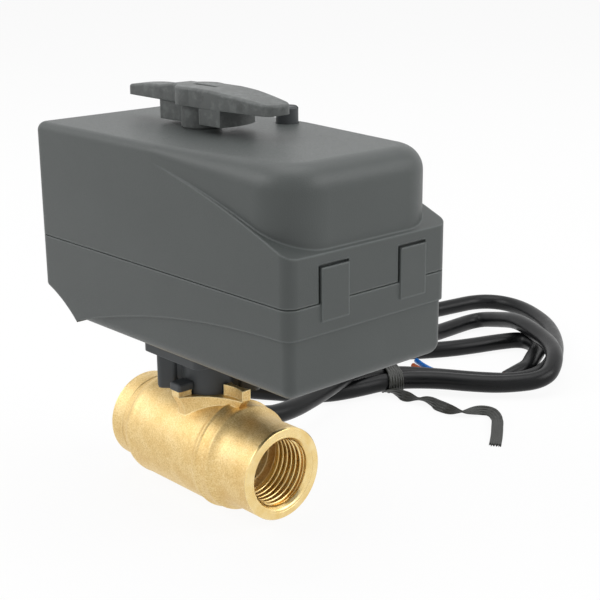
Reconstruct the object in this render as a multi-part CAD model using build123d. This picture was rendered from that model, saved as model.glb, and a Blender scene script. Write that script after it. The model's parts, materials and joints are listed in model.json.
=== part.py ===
from build123d import *
import math
import os

# Electric water valve: a brass ball valve with a motor housing on its stem.
# Millimetres. X runs along the pipe, Z along the stem. The parts are modelled about
# the point where the stem axis crosses the pipe axis, then moved so that the origin
# is the centre of the outlet port's face.

# Valve body
BODY_LENGTH = 63.2
PORT_R = 13.3
THREAD_R = 10.48
THREAD_DEPTH = 15.0
WATERWAY_R = 7.5
BARREL_R = 15.4
BARREL_REAR = -22.6
BARREL_FRONT = 13.0
SHOULDER_LENGTH = 4.6
END_RING_LENGTH = 5.6
NECK_R = 12.8
BARREL_REAR_EDGE_R = 2.2
BARREL_FRONT_EDGE_R = 5.0
BARREL_NECK_R = 4.0
PORT_CHAMFER = 0.5

# Ball, seats and stem
BALL_R = 12.0
BALL_CLEARANCE = 0.15
CAVITY_R = 12.7
SEAT_BACK = 11.4
SEAT_FRONT = 7.2
CONNECTOR_THREAD_R = 13.0
THREAD_CLEARANCE = 0.06
SEAL_SECTION = 1.0
SEAL_STATION = -20.6
STEM_R = 4.0
STEM_FLANGE_R = 5.5
STEM_FLANGE_BOTTOM = 12.3
STEM_FLANGE_THICKNESS = 1.3
WASHER_THICKNESS = 0.5
STEM_SQUARE = 5.6
STEM_ROUND_TOP = 31.4
STEM_TOP = 38.2
TANG_WIDTH = 3.8
TANG_BOTTOM = 9.2
TOWER_R = 6.2
TOWER_TOP = 31.0
O_RING_SECTION = 1.0
O_RING_HEIGHTS = (18.0, 22.5)
FIT_GAP = 0.1

# Mounting pad on the body and the plastic adapter over it
PAD_TOP = 20.3
PAD_RECESS = 17.2
PAD_TIP_X = 16.5
PAD_TIP_Y = 12.4
PAD_TIP_WIDTH = 3.0
PAD_WAIST = 6.0
PAD_SHELF_WAIST = 8.6
PAD_NECK = 12.6
PAD_NECK_SCALE = 0.84
PAD_NECK_WAIST = 9.2
PAD_FOOT = 7.0
PAD_FOOT_SCALE = 0.97
PAD_FOOT_WAIST = 12.6
COLLAR_R = 7.6
COLLAR_ROOM = 0.7
ADAPTER_LENGTH = 26.0
ADAPTER_WIDTH = 28.0
ADAPTER_BOTTOM = 28.5
ADAPTER_SHELF = 29.2
ADAPTER_CORNER_R = 2.5
LUG_RADIUS = 12.2
LUG_DEPTH = 5.0
LUG_WIDTH = 5.2
LUG_WEB_WIDTH = 4.2
LUG_ANGLE = 222.0
CLIP_THICKNESS = 1.0
CLIP_R = 8.0
CLIP_GROOVE = 0.7

# Housing
HOUSING_LENGTH = 107.1
HOUSING_WIDTH = 54.9
REAR_OVERHANG = 41.8
HOUSING_BOTTOM = 36.8
PARTING = 59.8
COVER_TOP = 92.3
SHOULDER_START_X = -10.0
SHOULDER_MID_X = 33.8
SHOULDER_MID_Z = 83.2
SHOULDER_FRONT = 71.8
WALL = 2.2
FLOOR = 2.4
CORNER_R = 3.2
BOTTOM_EDGE_R = 3.5
TUB_INSET = 0.7
TUB_FRONT_Z = 52.2
TUB_MID_X = 12.0
TUB_MID_Z = 46.8
TUB_REAR_X = -25.0
SCOOP_R = 41.0
SCOOP_REAR_Z = 46.0
SCOOP_END_X = -25.0
DOME_FRONT_X = 64.2
DOME_HALF_FRONT = 26.3
DOME_STRAIGHT_TO = 14.0
DOME_CORNER_R = 12.5
DOME_EDGE_R = 2.5
DOME_EDGE_FRONT_R = 6.5
THICK_ROOF_X = 34.0
THICK_ROOF_EXTRA = 1.2
TAB_WIDTH = 9.1
TAB_BOTTOM = 55.4
TAB_TOP = 68.6
TAB_PROUD = 0.4
TAB_DEPTH = 0.8
TAB_CLEARANCE = 0.7
TAB_CENTRES = (-12.6, 14.2)
PARTING_GROOVE_HEIGHT = 0.3
PARTING_GROOVE_DEPTH = 0.45
GASKET_WIDTH = 1.1
GASKET_DEPTH = 0.9
POST_R = 2.6
POST_PLACES = ((-6.5, 20.5), (58.0, 20.0))
SCREW_R = 1.2
SCREW_HEAD_R = 2.2
SCREW_HEAD_HEIGHT = 1.4
SCREW_LENGTH = 7.0
SMALL_HEAD_R = 1.9
COVER_SCREW_X = -36.0
COVER_SCREW_Y = 19.5
COVER_COLUMN_R = 3.4
COVER_SCREW_HEAD_R = 2.6

# Gear train
MODULE = 1.0
PRESSURE_ANGLE = 20.0
ADDENDUM = 0.85
DEDENDUM = 1.2
BACKLASH = 0.28
OUTPUT_TEETH = 36
IDLER_SMALL_TEETH = 12
IDLER_LARGE_TEETH = 32
PINION_TEETH = 12
GEAR_GAP = 0.8
GEAR_WIDTH = 4.0
PLATE_BOTTOM = 58.0
PLATE_THICKNESS = 1.5
PLATE_REAR = -12.0
PLATE_FRONT = 61.0
PLATE_HALF = 23.0
AXLE_R = 1.5
RUNNING_CLEARANCE = 0.08
MOTOR_R = 23.2
MOTOR_HEIGHT = 16.8
MOTOR_ECCENTRICITY = 8.0
MOTOR_BOSS_R = 3.8
MOTOR_SCREW_Y = 18.5
MOTOR_EDGE_R = 1.5
PINION_SEAT_DEPTH = 7.0
WHEEL_HOLE_R = 2.5
IDLER_HOLES = 5
OUTPUT_HOLES = 6

# Output shaft, lever and release button
SHAFT_R = 6.0
SHAFT_BOTTOM = 32.2
SHAFT_NECK_R = 5.0
SHAFT_NECK_Z = 88.0
SHAFT_FLAT = 10.0
LEVER_SQUARE = 5.6
BUSH_R = 8.6
BUSH_HEIGHT = 4.6
LEVER_FRONT = 32.6
LEVER_REAR = -30.0
LEVER_FRONT_ROOT_HALF = 6.4
LEVER_FRONT_BEND = (17.0, 6.2)
LEVER_FRONT_TIP_HALF = 4.1
LEVER_REAR_ROOT_HALF = 4.0
LEVER_REAR_TIP_HALF = 3.0
LEVER_DISC_R = 7.0
LEVER_BOTTOM = 98.7
LEVER_TOP = 103.7
LEVER_CREST = (-8.0, 10.0)
LEVER_STEP = (-15.0, 102.7)
LEVER_TIP_TOP = 101.2
LEVER_SAG = 0.35
LEVER_EDGE_R = 0.8
LEVER_HUB_R = 5.5
LEVER_GAP = 0.4
LEVER_SLOT_LENGTH = 9.6
LEVER_SLOT_X = 2.2
LEVER_SLOT_WIDTH = 1.6
LEVER_SLOT_DEPTH = 1.8
LEVER_RIB_BOTTOM = 93.5
LEVER_RIB_X0 = -14.3
LEVER_RIB_HALF = 3.3
LEVER_BLOCK_BOTTOM = 94.3
LEVER_BLOCK_X = (6.8, 15.5)
LEVER_BLOCK_Y = (-6.2, 7.2)
LEVER_BLOCK_NOSE = 16.3
BUTTON_X = 11.3
BUTTON_Y = 21.0
BUTTON_R = 3.1
BUTTON_TOP = 97.0
BUTTON_FLANGE_R = 3.8
BUTTON_FLANGE_THICKNESS = 1.5
BUTTON_TRAVEL = 3.0
BUTTON_SLOT_WIDTH = 1.0
BUTTON_SLOT_DEPTH = 0.9
BUTTON_STEM_R = 1.2
GUIDE_R = 2.3
SPRING_LENGTH = 6.0
SPRING_WIRE = 0.5
SPRING_MEAN_R = 1.75
SPRING_TURNS = 5
SEAT_GAP = 0.3

# Circuit board and switches
BOARD_BOTTOM = 76.0
BOARD_THICKNESS = 1.6
BOARD_REAR = 16.0
BOARD_FRONT = 54.0
BOARD_HALF = 22.4
SPACER_R = 2.4
SPACER_X = (19.5, 50.5)
SPACER_Y = 20.0
CAM_BOTTOM = 79.0
CAM_THICKNESS = 3.0
CAM_R = 10.0
CAM_LOBE_R = 12.2
CAM_LOBE_HALF_ANGLE = 11.0
SWITCH_BODY = (5.8, 12.6, 6.5)
SWITCH_X = 12.3
SWITCH_Y = 6.6
SWITCH_REACH = 1.0
CAPACITOR_R = 4.0
CAPACITOR_HEIGHT = 8.5
CAPACITOR_PLACE = (47.0, 11.0)
RELAY_SIZE = (15.0, 10.5, 9.0)
RELAY_PLACE = (34.5, -12.25)
CHIP_SIZE = (9.0, 5.0, 1.6)
CHIP_PLACE = (30.5, 2.5)
FILM_CAPACITOR_SIZE = (10.0, 5.0, 7.5)
FILM_CAPACITOR_PLACE = (45.0, -2.0)
FILM_CAPACITOR_CORNER_R = 1.2
HEADER_SIZE = (12.0, 5.0, 6.0)
HEADER_PLACE = (33.0, 14.5)

# Cable
CABLE_R = 3.1
CABLE_Z = CABLE_R - BARREL_R
CROSS_Z = -5.3
GLAND_X = -16.0
GLAND_Y = 18.2
GLAND_LENGTH = 20.0
GLAND_TOP_R = 5.2
GLAND_TIP_R = 3.9
GLAND_FLANGE_R = 6.0
GLAND_FLANGE_THICKNESS = 2.0
GLAND_NECK_R = 4.6
CORE_R = 0.95
TIE_THICKNESS = 0.6
TIE_CLEARANCE = 0.35
TIE_WIDTH = 3.4
TIE_LIFT = 1.1

# Terminal block inside the rear of the housing
TERMINAL_X = -15.0
TERMINAL_LENGTH = 16.0
TERMINAL_DEPTH = 8.0
TERMINAL_HEIGHT = 9.0
TERMINAL_SCREW_R = 1.8
TERMINAL_SCREW_DEPTH = 3.0
TERMINAL_WAYS = 3
TERMINAL_INLET = (4.0, 2.8, 3.0)
TERMINAL_INLET_Z = 2.0

HALF_LENGTH = BODY_LENGTH / 2
HOUSING_REAR = -REAR_OVERHANG
HOUSING_FRONT = HOUSING_LENGTH - REAR_OVERHANG
HALF_WIDTH = HOUSING_WIDTH / 2
INNER_HALF = HALF_WIDTH - TUB_INSET - WALL
INNER_FRONT = HOUSING_FRONT - TUB_INSET - WALL
INNER_REAR = HOUSING_REAR + WALL
PLATE_TOP = PLATE_BOTTOM + PLATE_THICKNESS
LOWER_GEAR_Z = PLATE_TOP + GEAR_GAP
UPPER_GEAR_Z = LOWER_GEAR_Z + GEAR_WIDTH + GEAR_GAP
UPPER_GEAR_TOP = UPPER_GEAR_Z + GEAR_WIDTH
IDLER_X = MODULE * (OUTPUT_TEETH + IDLER_SMALL_TEETH) / 2
PINION_X = IDLER_X + MODULE * (IDLER_LARGE_TEETH + PINION_TEETH) / 2
MOTOR_X = PINION_X - MOTOR_ECCENTRICITY
BOARD_TOP = BOARD_BOTTOM + BOARD_THICKNESS
ROOF = COVER_TOP - WALL
BUTTON_FLANGE_TOP = ROOF - SEAT_GAP
BUTTON_FLANGE_BOTTOM = BUTTON_FLANGE_TOP - BUTTON_FLANGE_THICKNESS
GUIDE_TOP = BUTTON_FLANGE_BOTTOM - SPRING_LENGTH - 2 * SEAT_GAP


def cylinder_z(radius, low, high, x=0.0, y=0.0):
    """Upright cylinder between two heights."""
    return Pos(x, y, (low + high) / 2) * Cylinder(radius, high - low)


def cylinder_x(radius, low, high):
    """Cylinder on the pipe axis between two stations."""
    return Pos((low + high) / 2, 0, 0) * Rot(0, 90, 0) * Cylinder(radius, high - low)


def block(x0, x1, y0, y1, z0, z1):
    """Box between two corners."""
    return Pos((x0 + x1) / 2, (y0 + y1) / 2, (z0 + z1) / 2) * Box(x1 - x0, y1 - y0, z1 - z0)


def ring_z(outer, inner, low, high, x=0.0, y=0.0):
    """Upright tube between two heights."""
    return cylinder_z(outer, low, high, x, y) - cylinder_z(inner, low - 1, high + 1, x, y)


def double_d(radius, across, low, high):
    """Round bar with two flats that face along Y."""
    return cylinder_z(radius, low, high) & block(-radius, radius, -across / 2, across / 2, low, high)


def side_outline(edges, half_depth):
    """Extrudes a closed outline in the XZ plane evenly to both sides of the middle."""
    face = make_face(Wire(edges))
    return extrude(Plane.XZ * face, half_depth, both=True)


def screw_z(x, y, seat, length, head_up=True, head_r=SCREW_HEAD_R):
    """Pan-head screw whose head bears on the height 'seat'."""
    way = 1 if head_up else -1
    ends = sorted((seat, seat + way * SCREW_HEAD_HEIGHT))
    shank = sorted((seat, seat - way * length))
    return cylinder_z(head_r, *ends, x, y) + cylinder_z(SCREW_R, *shank, x, y)


def four_corners(places):
    """Repeats places given with positive Y on both sides of the middle."""
    return [(x, side * y) for x, y in places for side in (-1, 1)]


# Valve body, end connector and what they hold

def pad_section(scale, waist, height):
    """Four-pointed section with hollow sides; waist is its radius between two points."""
    tip_x, tip_y = PAD_TIP_X * scale, PAD_TIP_Y * scale
    half = PAD_TIP_WIDTH / 2
    corner = waist / math.sqrt(2)
    edges = []
    for sx, sy in ((1, 1), (-1, 1), (-1, -1), (1, -1)):
        on_x = (sx * tip_x, sy * half)
        on_y = (sx * half, sy * tip_y)
        edges.append(ThreePointArc(on_x, (sx * corner, sy * corner), on_y))
    for side in (-1, 1):
        edges.append(Line((side * tip_x, -half), (side * tip_x, half)))
        edges.append(Line((-half, side * tip_y), (half, side * tip_y)))
    return Pos(0, 0, height) * make_face(Wire(edges))


def barrel_solid():
    outline = Polyline(
        (BARREL_REAR, 0),
        (BARREL_REAR, BARREL_R),
        (BARREL_FRONT, BARREL_R),
        (BARREL_FRONT + SHOULDER_LENGTH, PORT_R),
        (HALF_LENGTH, PORT_R),
        (HALF_LENGTH, 0),
        close=True,
    )
    face = make_face(outline)
    rounds = (
        (BARREL_REAR, BARREL_REAR_EDGE_R),
        (BARREL_FRONT, BARREL_FRONT_EDGE_R),
        (BARREL_FRONT + SHOULDER_LENGTH, BARREL_NECK_R),
    )
    for station, radius in rounds:
        corner = [v for v in face.vertices() if abs(v.X - station) < 0.01 and v.Y > 1]
        face = fillet(corner, radius)
    rim = [v for v in face.vertices() if abs(v.X - HALF_LENGTH) < 0.01 and v.Y > 1]
    face = chamfer(rim, PORT_CHAMFER)
    return revolve(face, Axis.X)


def make_valve_body():
    body = barrel_solid()
    sections = [
        pad_section(PAD_FOOT_SCALE, PAD_FOOT_WAIST, PAD_FOOT),
        pad_section(PAD_NECK_SCALE, PAD_NECK_WAIST, PAD_NECK),
        pad_section(1.0, PAD_SHELF_WAIST, PAD_RECESS),
    ]
    body += loft([section.face() for section in sections])
    body += extrude(pad_section(1.0, PAD_WAIST, PAD_RECESS), PAD_TOP - PAD_RECESS)
    body -= cylinder_z(COLLAR_R + COLLAR_ROOM, PAD_RECESS, PAD_TOP + 1)
    body += cylinder_z(TOWER_R, BALL_R, TOWER_TOP)
    body -= cylinder_x(WATERWAY_R, -HALF_LENGTH, HALF_LENGTH + 1)
    body -= cylinder_x(CAVITY_R, -SEAT_BACK, SEAT_BACK)
    body -= cylinder_x(CONNECTOR_THREAD_R + THREAD_CLEARANCE, BARREL_REAR - 1, -SEAT_BACK)
    body -= cylinder_x(THREAD_R, HALF_LENGTH - THREAD_DEPTH, HALF_LENGTH + 1)
    flange_top = STEM_FLANGE_BOTTOM + STEM_FLANGE_THICKNESS + WASHER_THICKNESS + FIT_GAP
    body -= cylinder_z(STEM_FLANGE_R + FIT_GAP, 0, flange_top)
    body -= cylinder_z(STEM_R + RUNNING_CLEARANCE, 0, TOWER_TOP + 1)
    clip_top = ADAPTER_SHELF + CLIP_THICKNESS + FIT_GAP
    return body - ring_z(TOWER_R + 1, TOWER_R - CLIP_GROOVE, ADAPTER_SHELF, clip_top)


def make_end_connector():
    part = cylinder_x(PORT_R, -HALF_LENGTH, -HALF_LENGTH + END_RING_LENGTH)
    part += cylinder_x(NECK_R, -HALF_LENGTH + END_RING_LENGTH, BARREL_REAR)
    part += cylinder_x(CONNECTOR_THREAD_R, BARREL_REAR, -SEAT_BACK)
    rim = part.edges().filter_by(GeomType.CIRCLE).group_by(Axis.X)[0]
    part = chamfer(rim, PORT_CHAMFER)
    part -= cylinder_x(WATERWAY_R, -HALF_LENGTH - 1, 0)
    part -= cylinder_x(THREAD_R, -HALF_LENGTH - 1, -HALF_LENGTH + THREAD_DEPTH)
    groove = (SEAL_STATION - SEAL_SECTION * 0.75, SEAL_STATION + SEAL_SECTION * 0.75)
    core = cylinder_x(CONNECTOR_THREAD_R - SEAL_SECTION, *groove)
    return part - (cylinder_x(CONNECTOR_THREAD_R + 1, *groove) - core)


def make_body_seal():
    centre_r = CONNECTOR_THREAD_R - SEAL_SECTION / 2
    return Pos(SEAL_STATION, 0, 0) * Rot(0, 90, 0) * Torus(centre_r, SEAL_SECTION / 2 - 0.02)


def make_ball():
    ball = Sphere(BALL_R) - cylinder_x(WATERWAY_R, -BALL_R - 1, BALL_R + 1)
    slot_half = TANG_WIDTH / 2 + FIT_GAP
    return ball - block(-slot_half, slot_half, -BALL_R, BALL_R, TANG_BOTTOM - 2 * FIT_GAP, BALL_R + 1)


def make_seat_ring(side):
    """Ring with a hollow spherical face towards the ball; side is 1 at the outlet."""
    face_r = BALL_R + BALL_CLEARANCE
    outer = CAVITY_R - FIT_GAP
    inner = WATERWAY_R + FIT_GAP

    def on_sphere(station):
        return (station, math.sqrt(face_r**2 - station**2))

    inner_station = math.sqrt(face_r**2 - inner**2)
    between = on_sphere((SEAT_FRONT + inner_station) / 2)
    edges = [
        Line((SEAT_FRONT, outer), on_sphere(SEAT_FRONT)),
        ThreePointArc(on_sphere(SEAT_FRONT), between, (inner_station, inner)),
        Line((inner_station, inner), (SEAT_BACK, inner)),
        Line((SEAT_BACK, inner), (SEAT_BACK, outer)),
        Line((SEAT_BACK, outer), (SEAT_FRONT, outer)),
    ]
    ring = revolve(make_face(Wire(edges)), Axis.X)
    return ring if side > 0 else Rot(0, 0, 180) * ring


def make_stem():
    flange_top = STEM_FLANGE_BOTTOM + STEM_FLANGE_THICKNESS
    stem = cylinder_z(STEM_FLANGE_R, STEM_FLANGE_BOTTOM, flange_top)
    stem += cylinder_z(STEM_R, flange_top, STEM_ROUND_TOP)
    tang_half = math.sqrt(STEM_R**2 - (TANG_WIDTH / 2) ** 2)
    stem += block(-TANG_WIDTH / 2, TANG_WIDTH / 2, -tang_half, tang_half, TANG_BOTTOM, STEM_FLANGE_BOTTOM)
    half = STEM_SQUARE / 2
    stem += block(-half, half, -half, half, STEM_ROUND_TOP, STEM_TOP)
    for height in O_RING_HEIGHTS:
        groove = (height - O_RING_SECTION * 0.7, height + O_RING_SECTION * 0.7)
        stem -= ring_z(STEM_R + 1, STEM_R - O_RING_SECTION, *groove)
    return stem


def make_stem_thrust_washer():
    low = STEM_FLANGE_BOTTOM + STEM_FLANGE_THICKNESS
    return ring_z(STEM_FLANGE_R, STEM_R + FIT_GAP, low, low + WASHER_THICKNESS)


def make_stem_o_rings():
    centre_r = STEM_R - O_RING_SECTION / 2
    rings = [Pos(0, 0, z) * Torus(centre_r, O_RING_SECTION / 2 - 0.02) for z in O_RING_HEIGHTS]
    return Compound([ring.solid() for ring in rings])


# Adapter between valve and housing

def make_adapter():
    half_x, half_y = ADAPTER_LENGTH / 2, ADAPTER_WIDTH / 2
    boss = block(-half_x, half_x, -half_y, half_y, ADAPTER_BOTTOM, HOUSING_BOTTOM)
    boss = fillet(boss.edges().filter_by(Axis.Z), ADAPTER_CORNER_R)
    part = boss + cylinder_z(COLLAR_R, PAD_RECESS, ADAPTER_BOTTOM)
    for angle in (LUG_ANGLE, LUG_ANGLE - 180):
        lug = Box(LUG_DEPTH, LUG_WIDTH, ADAPTER_BOTTOM - PAD_RECESS)
        lug = fillet(lug.edges().filter_by(Axis.Z), LUG_DEPTH * 0.3)
        middle_z = (ADAPTER_BOTTOM + PAD_TOP) / 2
        web = Box(LUG_RADIUS - TOWER_R, LUG_WEB_WIDTH, ADAPTER_BOTTOM - PAD_TOP)
        part += Rot(0, 0, angle) * Pos(LUG_RADIUS, 0, (ADAPTER_BOTTOM + PAD_RECESS) / 2) * lug
        part += Rot(0, 0, angle) * Pos((LUG_RADIUS + TOWER_R) / 2, 0, middle_z) * web
    part -= cylinder_z(TOWER_R + FIT_GAP, PAD_RECESS - 1, HOUSING_BOTTOM + 1)
    part -= cylinder_z(CLIP_R + 2 * FIT_GAP, ADAPTER_SHELF, HOUSING_BOTTOM + 1)
    for x, y in adapter_screw_places():
        part -= cylinder_z(SCREW_R, HOUSING_BOTTOM - SCREW_LENGTH, HOUSING_BOTTOM + 1, x, y)
    return part


def adapter_screw_places():
    inset = ADAPTER_CORNER_R + SCREW_R
    x, y = ADAPTER_LENGTH / 2 - inset, ADAPTER_WIDTH / 2 - inset
    return four_corners([(x, y), (-x, y)])


def make_adapter_screws():
    seat = HOUSING_BOTTOM + FLOOR
    length = FLOOR + SCREW_LENGTH - 2 * FIT_GAP
    screws = [screw_z(x, y, seat, length) for x, y in adapter_screw_places()]
    return Compound([screw.solid() for screw in screws])


def make_retaining_ring():
    inner = TOWER_R - CLIP_GROOVE
    ring = ring_z(CLIP_R, inner, ADAPTER_SHELF, ADAPTER_SHELF + CLIP_THICKNESS)
    return ring - block(0, CLIP_R + 1, -1.5, 1.5, ADAPTER_SHELF - 1, ADAPTER_SHELF + CLIP_THICKNESS + 1)


# Housing

def housing_plan(inset, low, high):
    """Rounded block of the housing's outline, drawn in by 'inset'."""
    body = block(
        HOUSING_REAR + inset, HOUSING_FRONT - inset, -HALF_WIDTH + inset, HALF_WIDTH - inset, low, high
    )
    return fillet(body.edges().filter_by(Axis.Z), max(CORNER_R - inset, 0.8))


def scoop(extra):
    """Cylinder across the rear underside; 'extra' thickens it for the inner wall."""
    low = Vector(SCOOP_END_X, HOUSING_BOTTOM)
    high = Vector(HOUSING_REAR, SCOOP_REAR_Z)
    chord = high - low
    middle = (low + high) * 0.5
    drop = math.sqrt(SCOOP_R**2 - (chord.length / 2) ** 2)
    normal = Vector(chord.Y, -chord.X) * (-1 / chord.length)
    centre = middle + normal * drop
    return Pos(centre.X, 0, centre.Y) * Rot(90, 0, 0) * Cylinder(SCOOP_R + extra, HOUSING_WIDTH * 2)


def below_witness_line():
    """Everything under the curved line where the tub steps in."""
    rear_z = HOUSING_BOTTOM + 0.4
    front = (HOUSING_FRONT + 1, TUB_FRONT_Z)
    rear = (TUB_REAR_X, rear_z)
    under = HOUSING_BOTTOM - 1
    return side_outline(
        [
            ThreePointArc(rear, (TUB_MID_X, TUB_MID_Z), front),
            Line(front, (HOUSING_FRONT + 1, under)),
            Line((HOUSING_FRONT + 1, under), (TUB_REAR_X, under)),
            Line((TUB_REAR_X, under), rear),
        ],
        HOUSING_WIDTH,
    )


def tab_solid(centre, extra):
    """Snap tab on the front, or with 'extra' the notch that it rises into."""
    half = TAB_WIDTH / 2
    behind = FIT_GAP if extra else 0
    return block(
        HOUSING_FRONT - TAB_DEPTH - behind, HOUSING_FRONT + TAB_PROUD,
        centre - half - extra, centre + half + behind, TAB_BOTTOM, TAB_TOP + extra,
    )


def make_housing_base():
    shell = housing_plan(0, HOUSING_BOTTOM, PARTING)
    shell -= below_witness_line() - housing_plan(TUB_INSET, HOUSING_BOTTOM - 2, PARTING)
    front_bottom = shell.edges().filter_by(Axis.Y).group_by(Axis.Z)[0].sort_by(Axis.X)[-1]
    shell = fillet(front_bottom, BOTTOM_EDGE_R)
    shell -= scoop(0)
    room = block(INNER_REAR, INNER_FRONT, -INNER_HALF, INNER_HALF, HOUSING_BOTTOM + FLOOR, PARTING + 1)
    room = fillet(room.edges().filter_by(Axis.Z), max(CORNER_R - WALL, 0.8))
    shell -= room - scoop(FLOOR)
    rim_outer = (HALF_WIDTH - INNER_HALF - GASKET_WIDTH) / 2
    rim = housing_plan(rim_outer, PARTING - GASKET_DEPTH, PARTING + 1)
    shell -= rim - housing_plan(rim_outer + GASKET_WIDTH, PARTING - GASKET_DEPTH - 1, PARTING + 2)
    for centre in TAB_CENTRES:
        shell += tab_solid(centre, 0)
    shell += cylinder_z(BUSH_R, HOUSING_BOTTOM, HOUSING_BOTTOM + FLOOR + BUSH_HEIGHT)
    shell -= cylinder_z(SHAFT_R + RUNNING_CLEARANCE, HOUSING_BOTTOM - 1, PARTING)
    for x, y in four_corners(POST_PLACES):
        shell += cylinder_z(POST_R, HOUSING_BOTTOM + FLOOR / 2, PLATE_BOTTOM, x, y)
        shell -= cylinder_z(SCREW_R, PLATE_BOTTOM - SCREW_LENGTH, PLATE_BOTTOM + 1, x, y)
    for x, y in adapter_screw_places():
        shell -= cylinder_z(SCREW_R + FIT_GAP, HOUSING_BOTTOM - 1, HOUSING_BOTTOM + FLOOR + 1, x, y)
    for x, y in four_corners([(COVER_SCREW_X, COVER_SCREW_Y)]):
        column = cylinder_z(COVER_COLUMN_R, HOUSING_BOTTOM, PARTING - GASKET_DEPTH, x, y)
        shell += column - scoop(0)
        shell -= cylinder_z(SCREW_R + FIT_GAP, HOUSING_BOTTOM, PARTING + 1, x, y)
        shell -= cylinder_z(COVER_SCREW_HEAD_R + FIT_GAP, HOUSING_BOTTOM, cover_screw_seat(), x, y)
    shell -= cylinder_z(GLAND_NECK_R, HOUSING_BOTTOM - 1, HOUSING_BOTTOM + FLOOR + 1, GLAND_X, GLAND_Y)
    return shell


def cover_screw_seat():
    return SCOOP_REAR_Z + FLOOR


def make_cover_screws():
    length = PARTING - cover_screw_seat() + SCREW_LENGTH
    screws = [
        screw_z(x, y, cover_screw_seat(), length, head_up=False, head_r=COVER_SCREW_HEAD_R)
        for x, y in four_corners([(COVER_SCREW_X, COVER_SCREW_Y)])
    ]
    return Compound([screw.solid() for screw in screws])


def make_cover_gasket():
    low, high = PARTING - GASKET_DEPTH, PARTING
    outer = (HALF_WIDTH - INNER_HALF - GASKET_WIDTH) / 2
    slack = FIT_GAP / 2
    inside = housing_plan(outer + GASKET_WIDTH - slack, low - 1, high + 1)
    return housing_plan(outer + slack, low, high) - inside


def shoulder_side(drop, low):
    """Side view of the skirt under its sloping shoulder line, lowered by 'drop'."""
    top = COVER_TOP - drop
    start = (SHOULDER_START_X, top - 0.6)
    front = (HOUSING_FRONT + 1, SHOULDER_FRONT - drop - 0.3)
    return side_outline(
        [
            Line((HOUSING_REAR - 1, low), (HOUSING_REAR - 1, top - 0.6)),
            Line((HOUSING_REAR - 1, top - 0.6), start),
            ThreePointArc(start, (SHOULDER_MID_X, SHOULDER_MID_Z - drop), front),
            Line(front, (HOUSING_FRONT + 1, low)),
            Line((HOUSING_FRONT + 1, low), (HOUSING_REAR - 1, low)),
        ],
        HOUSING_WIDTH,
    )


def dome_plan(inset):
    """Plan of the raised dome, narrowing to a round-cornered front."""
    corner_r = DOME_CORNER_R - inset
    corner_x = DOME_FRONT_X - DOME_CORNER_R
    corner_y = DOME_HALF_FRONT - DOME_CORNER_R
    rear = HOUSING_REAR + inset
    half = HALF_WIDTH - inset
    front = DOME_FRONT_X - inset
    reach = corner_r / math.sqrt(2)
    edges = [Line((front, -corner_y), (front, corner_y)), Line((rear, -half), (rear, half))]
    for side in (-1, 1):
        edges.append(Line((rear, side * half), (DOME_STRAIGHT_TO, side * half)))
        edges.append(Line((DOME_STRAIGHT_TO, side * half), (corner_x, side * (corner_y + corner_r))))
        edges.append(
            ThreePointArc(
                (corner_x, side * (corner_y + corner_r)),
                (corner_x + reach, side * (corner_y + reach)),
                (front, side * corner_y),
            )
        )
    return make_face(Wire(edges))


def edge_waste(radius):
    """Waste between a square upper edge at the origin and its round, in the XY plane."""
    over = 1.0
    bulge = -radius * (1 - math.sqrt(0.5))
    edges = [
        ThreePointArc((-radius, 0), (bulge, bulge), (0, -radius)),
        Line((0, -radius), (over, -radius)),
        Line((over, -radius), (over, over)),
        Line((over, over), (-radius, over)),
        Line((-radius, over), (-radius, 0)),
    ]
    return make_face(Wire(edges))


def upper_edge_plane(x, y, outward):
    """Plane across the cover's upper edge, with its X outward and its Y upward."""
    normal = Vector(*outward).cross(Vector(0, 0, 1))
    return Plane(origin=(x, y, COVER_TOP), x_dir=outward, z_dir=normal)


def upper_edge_cutters():
    """Waste outside the rounded upper edge, slight at the rear and full at the front."""
    small = edge_waste(DOME_EDGE_R)
    large = edge_waste(DOME_EDGE_FRONT_R)
    front_x = DOME_FRONT_X - DOME_CORNER_R
    front_y = DOME_HALF_FRONT - DOME_CORNER_R
    rear_x = HOUSING_REAR + CORNER_R
    rear_y = HALF_WIDTH - CORNER_R
    cutters = []
    for side in (-1, 1):
        outward = (0, side, 0)
        rear_plane = upper_edge_plane(rear_x, side * HALF_WIDTH, outward)
        middle_plane = upper_edge_plane(DOME_STRAIGHT_TO, side * HALF_WIDTH, outward)
        front_plane = upper_edge_plane(front_x, side * DOME_HALF_FRONT, outward)
        cutters.append(extrude(rear_plane * small, side * (DOME_STRAIGHT_TO - rear_x)))
        cutters.append(loft([(middle_plane * small).face(), (front_plane * large).face()], ruled=True))
        rear_axis = Axis((rear_x, side * rear_y, 0), (0, 0, side))
        front_axis = Axis((front_x, side * front_y, 0), (0, 0, -side))
        cutters.append(revolve(rear_plane * small, rear_axis, 90))
        cutters.append(revolve(front_plane * large, front_axis, 90))
    cutters.append(extrude(upper_edge_plane(HOUSING_REAR, -rear_y, (-1, 0, 0)) * small, 2 * rear_y))
    cutters.append(extrude(upper_edge_plane(DOME_FRONT_X, front_y, (1, 0, 0)) * large, 2 * front_y))
    return cutters


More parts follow.
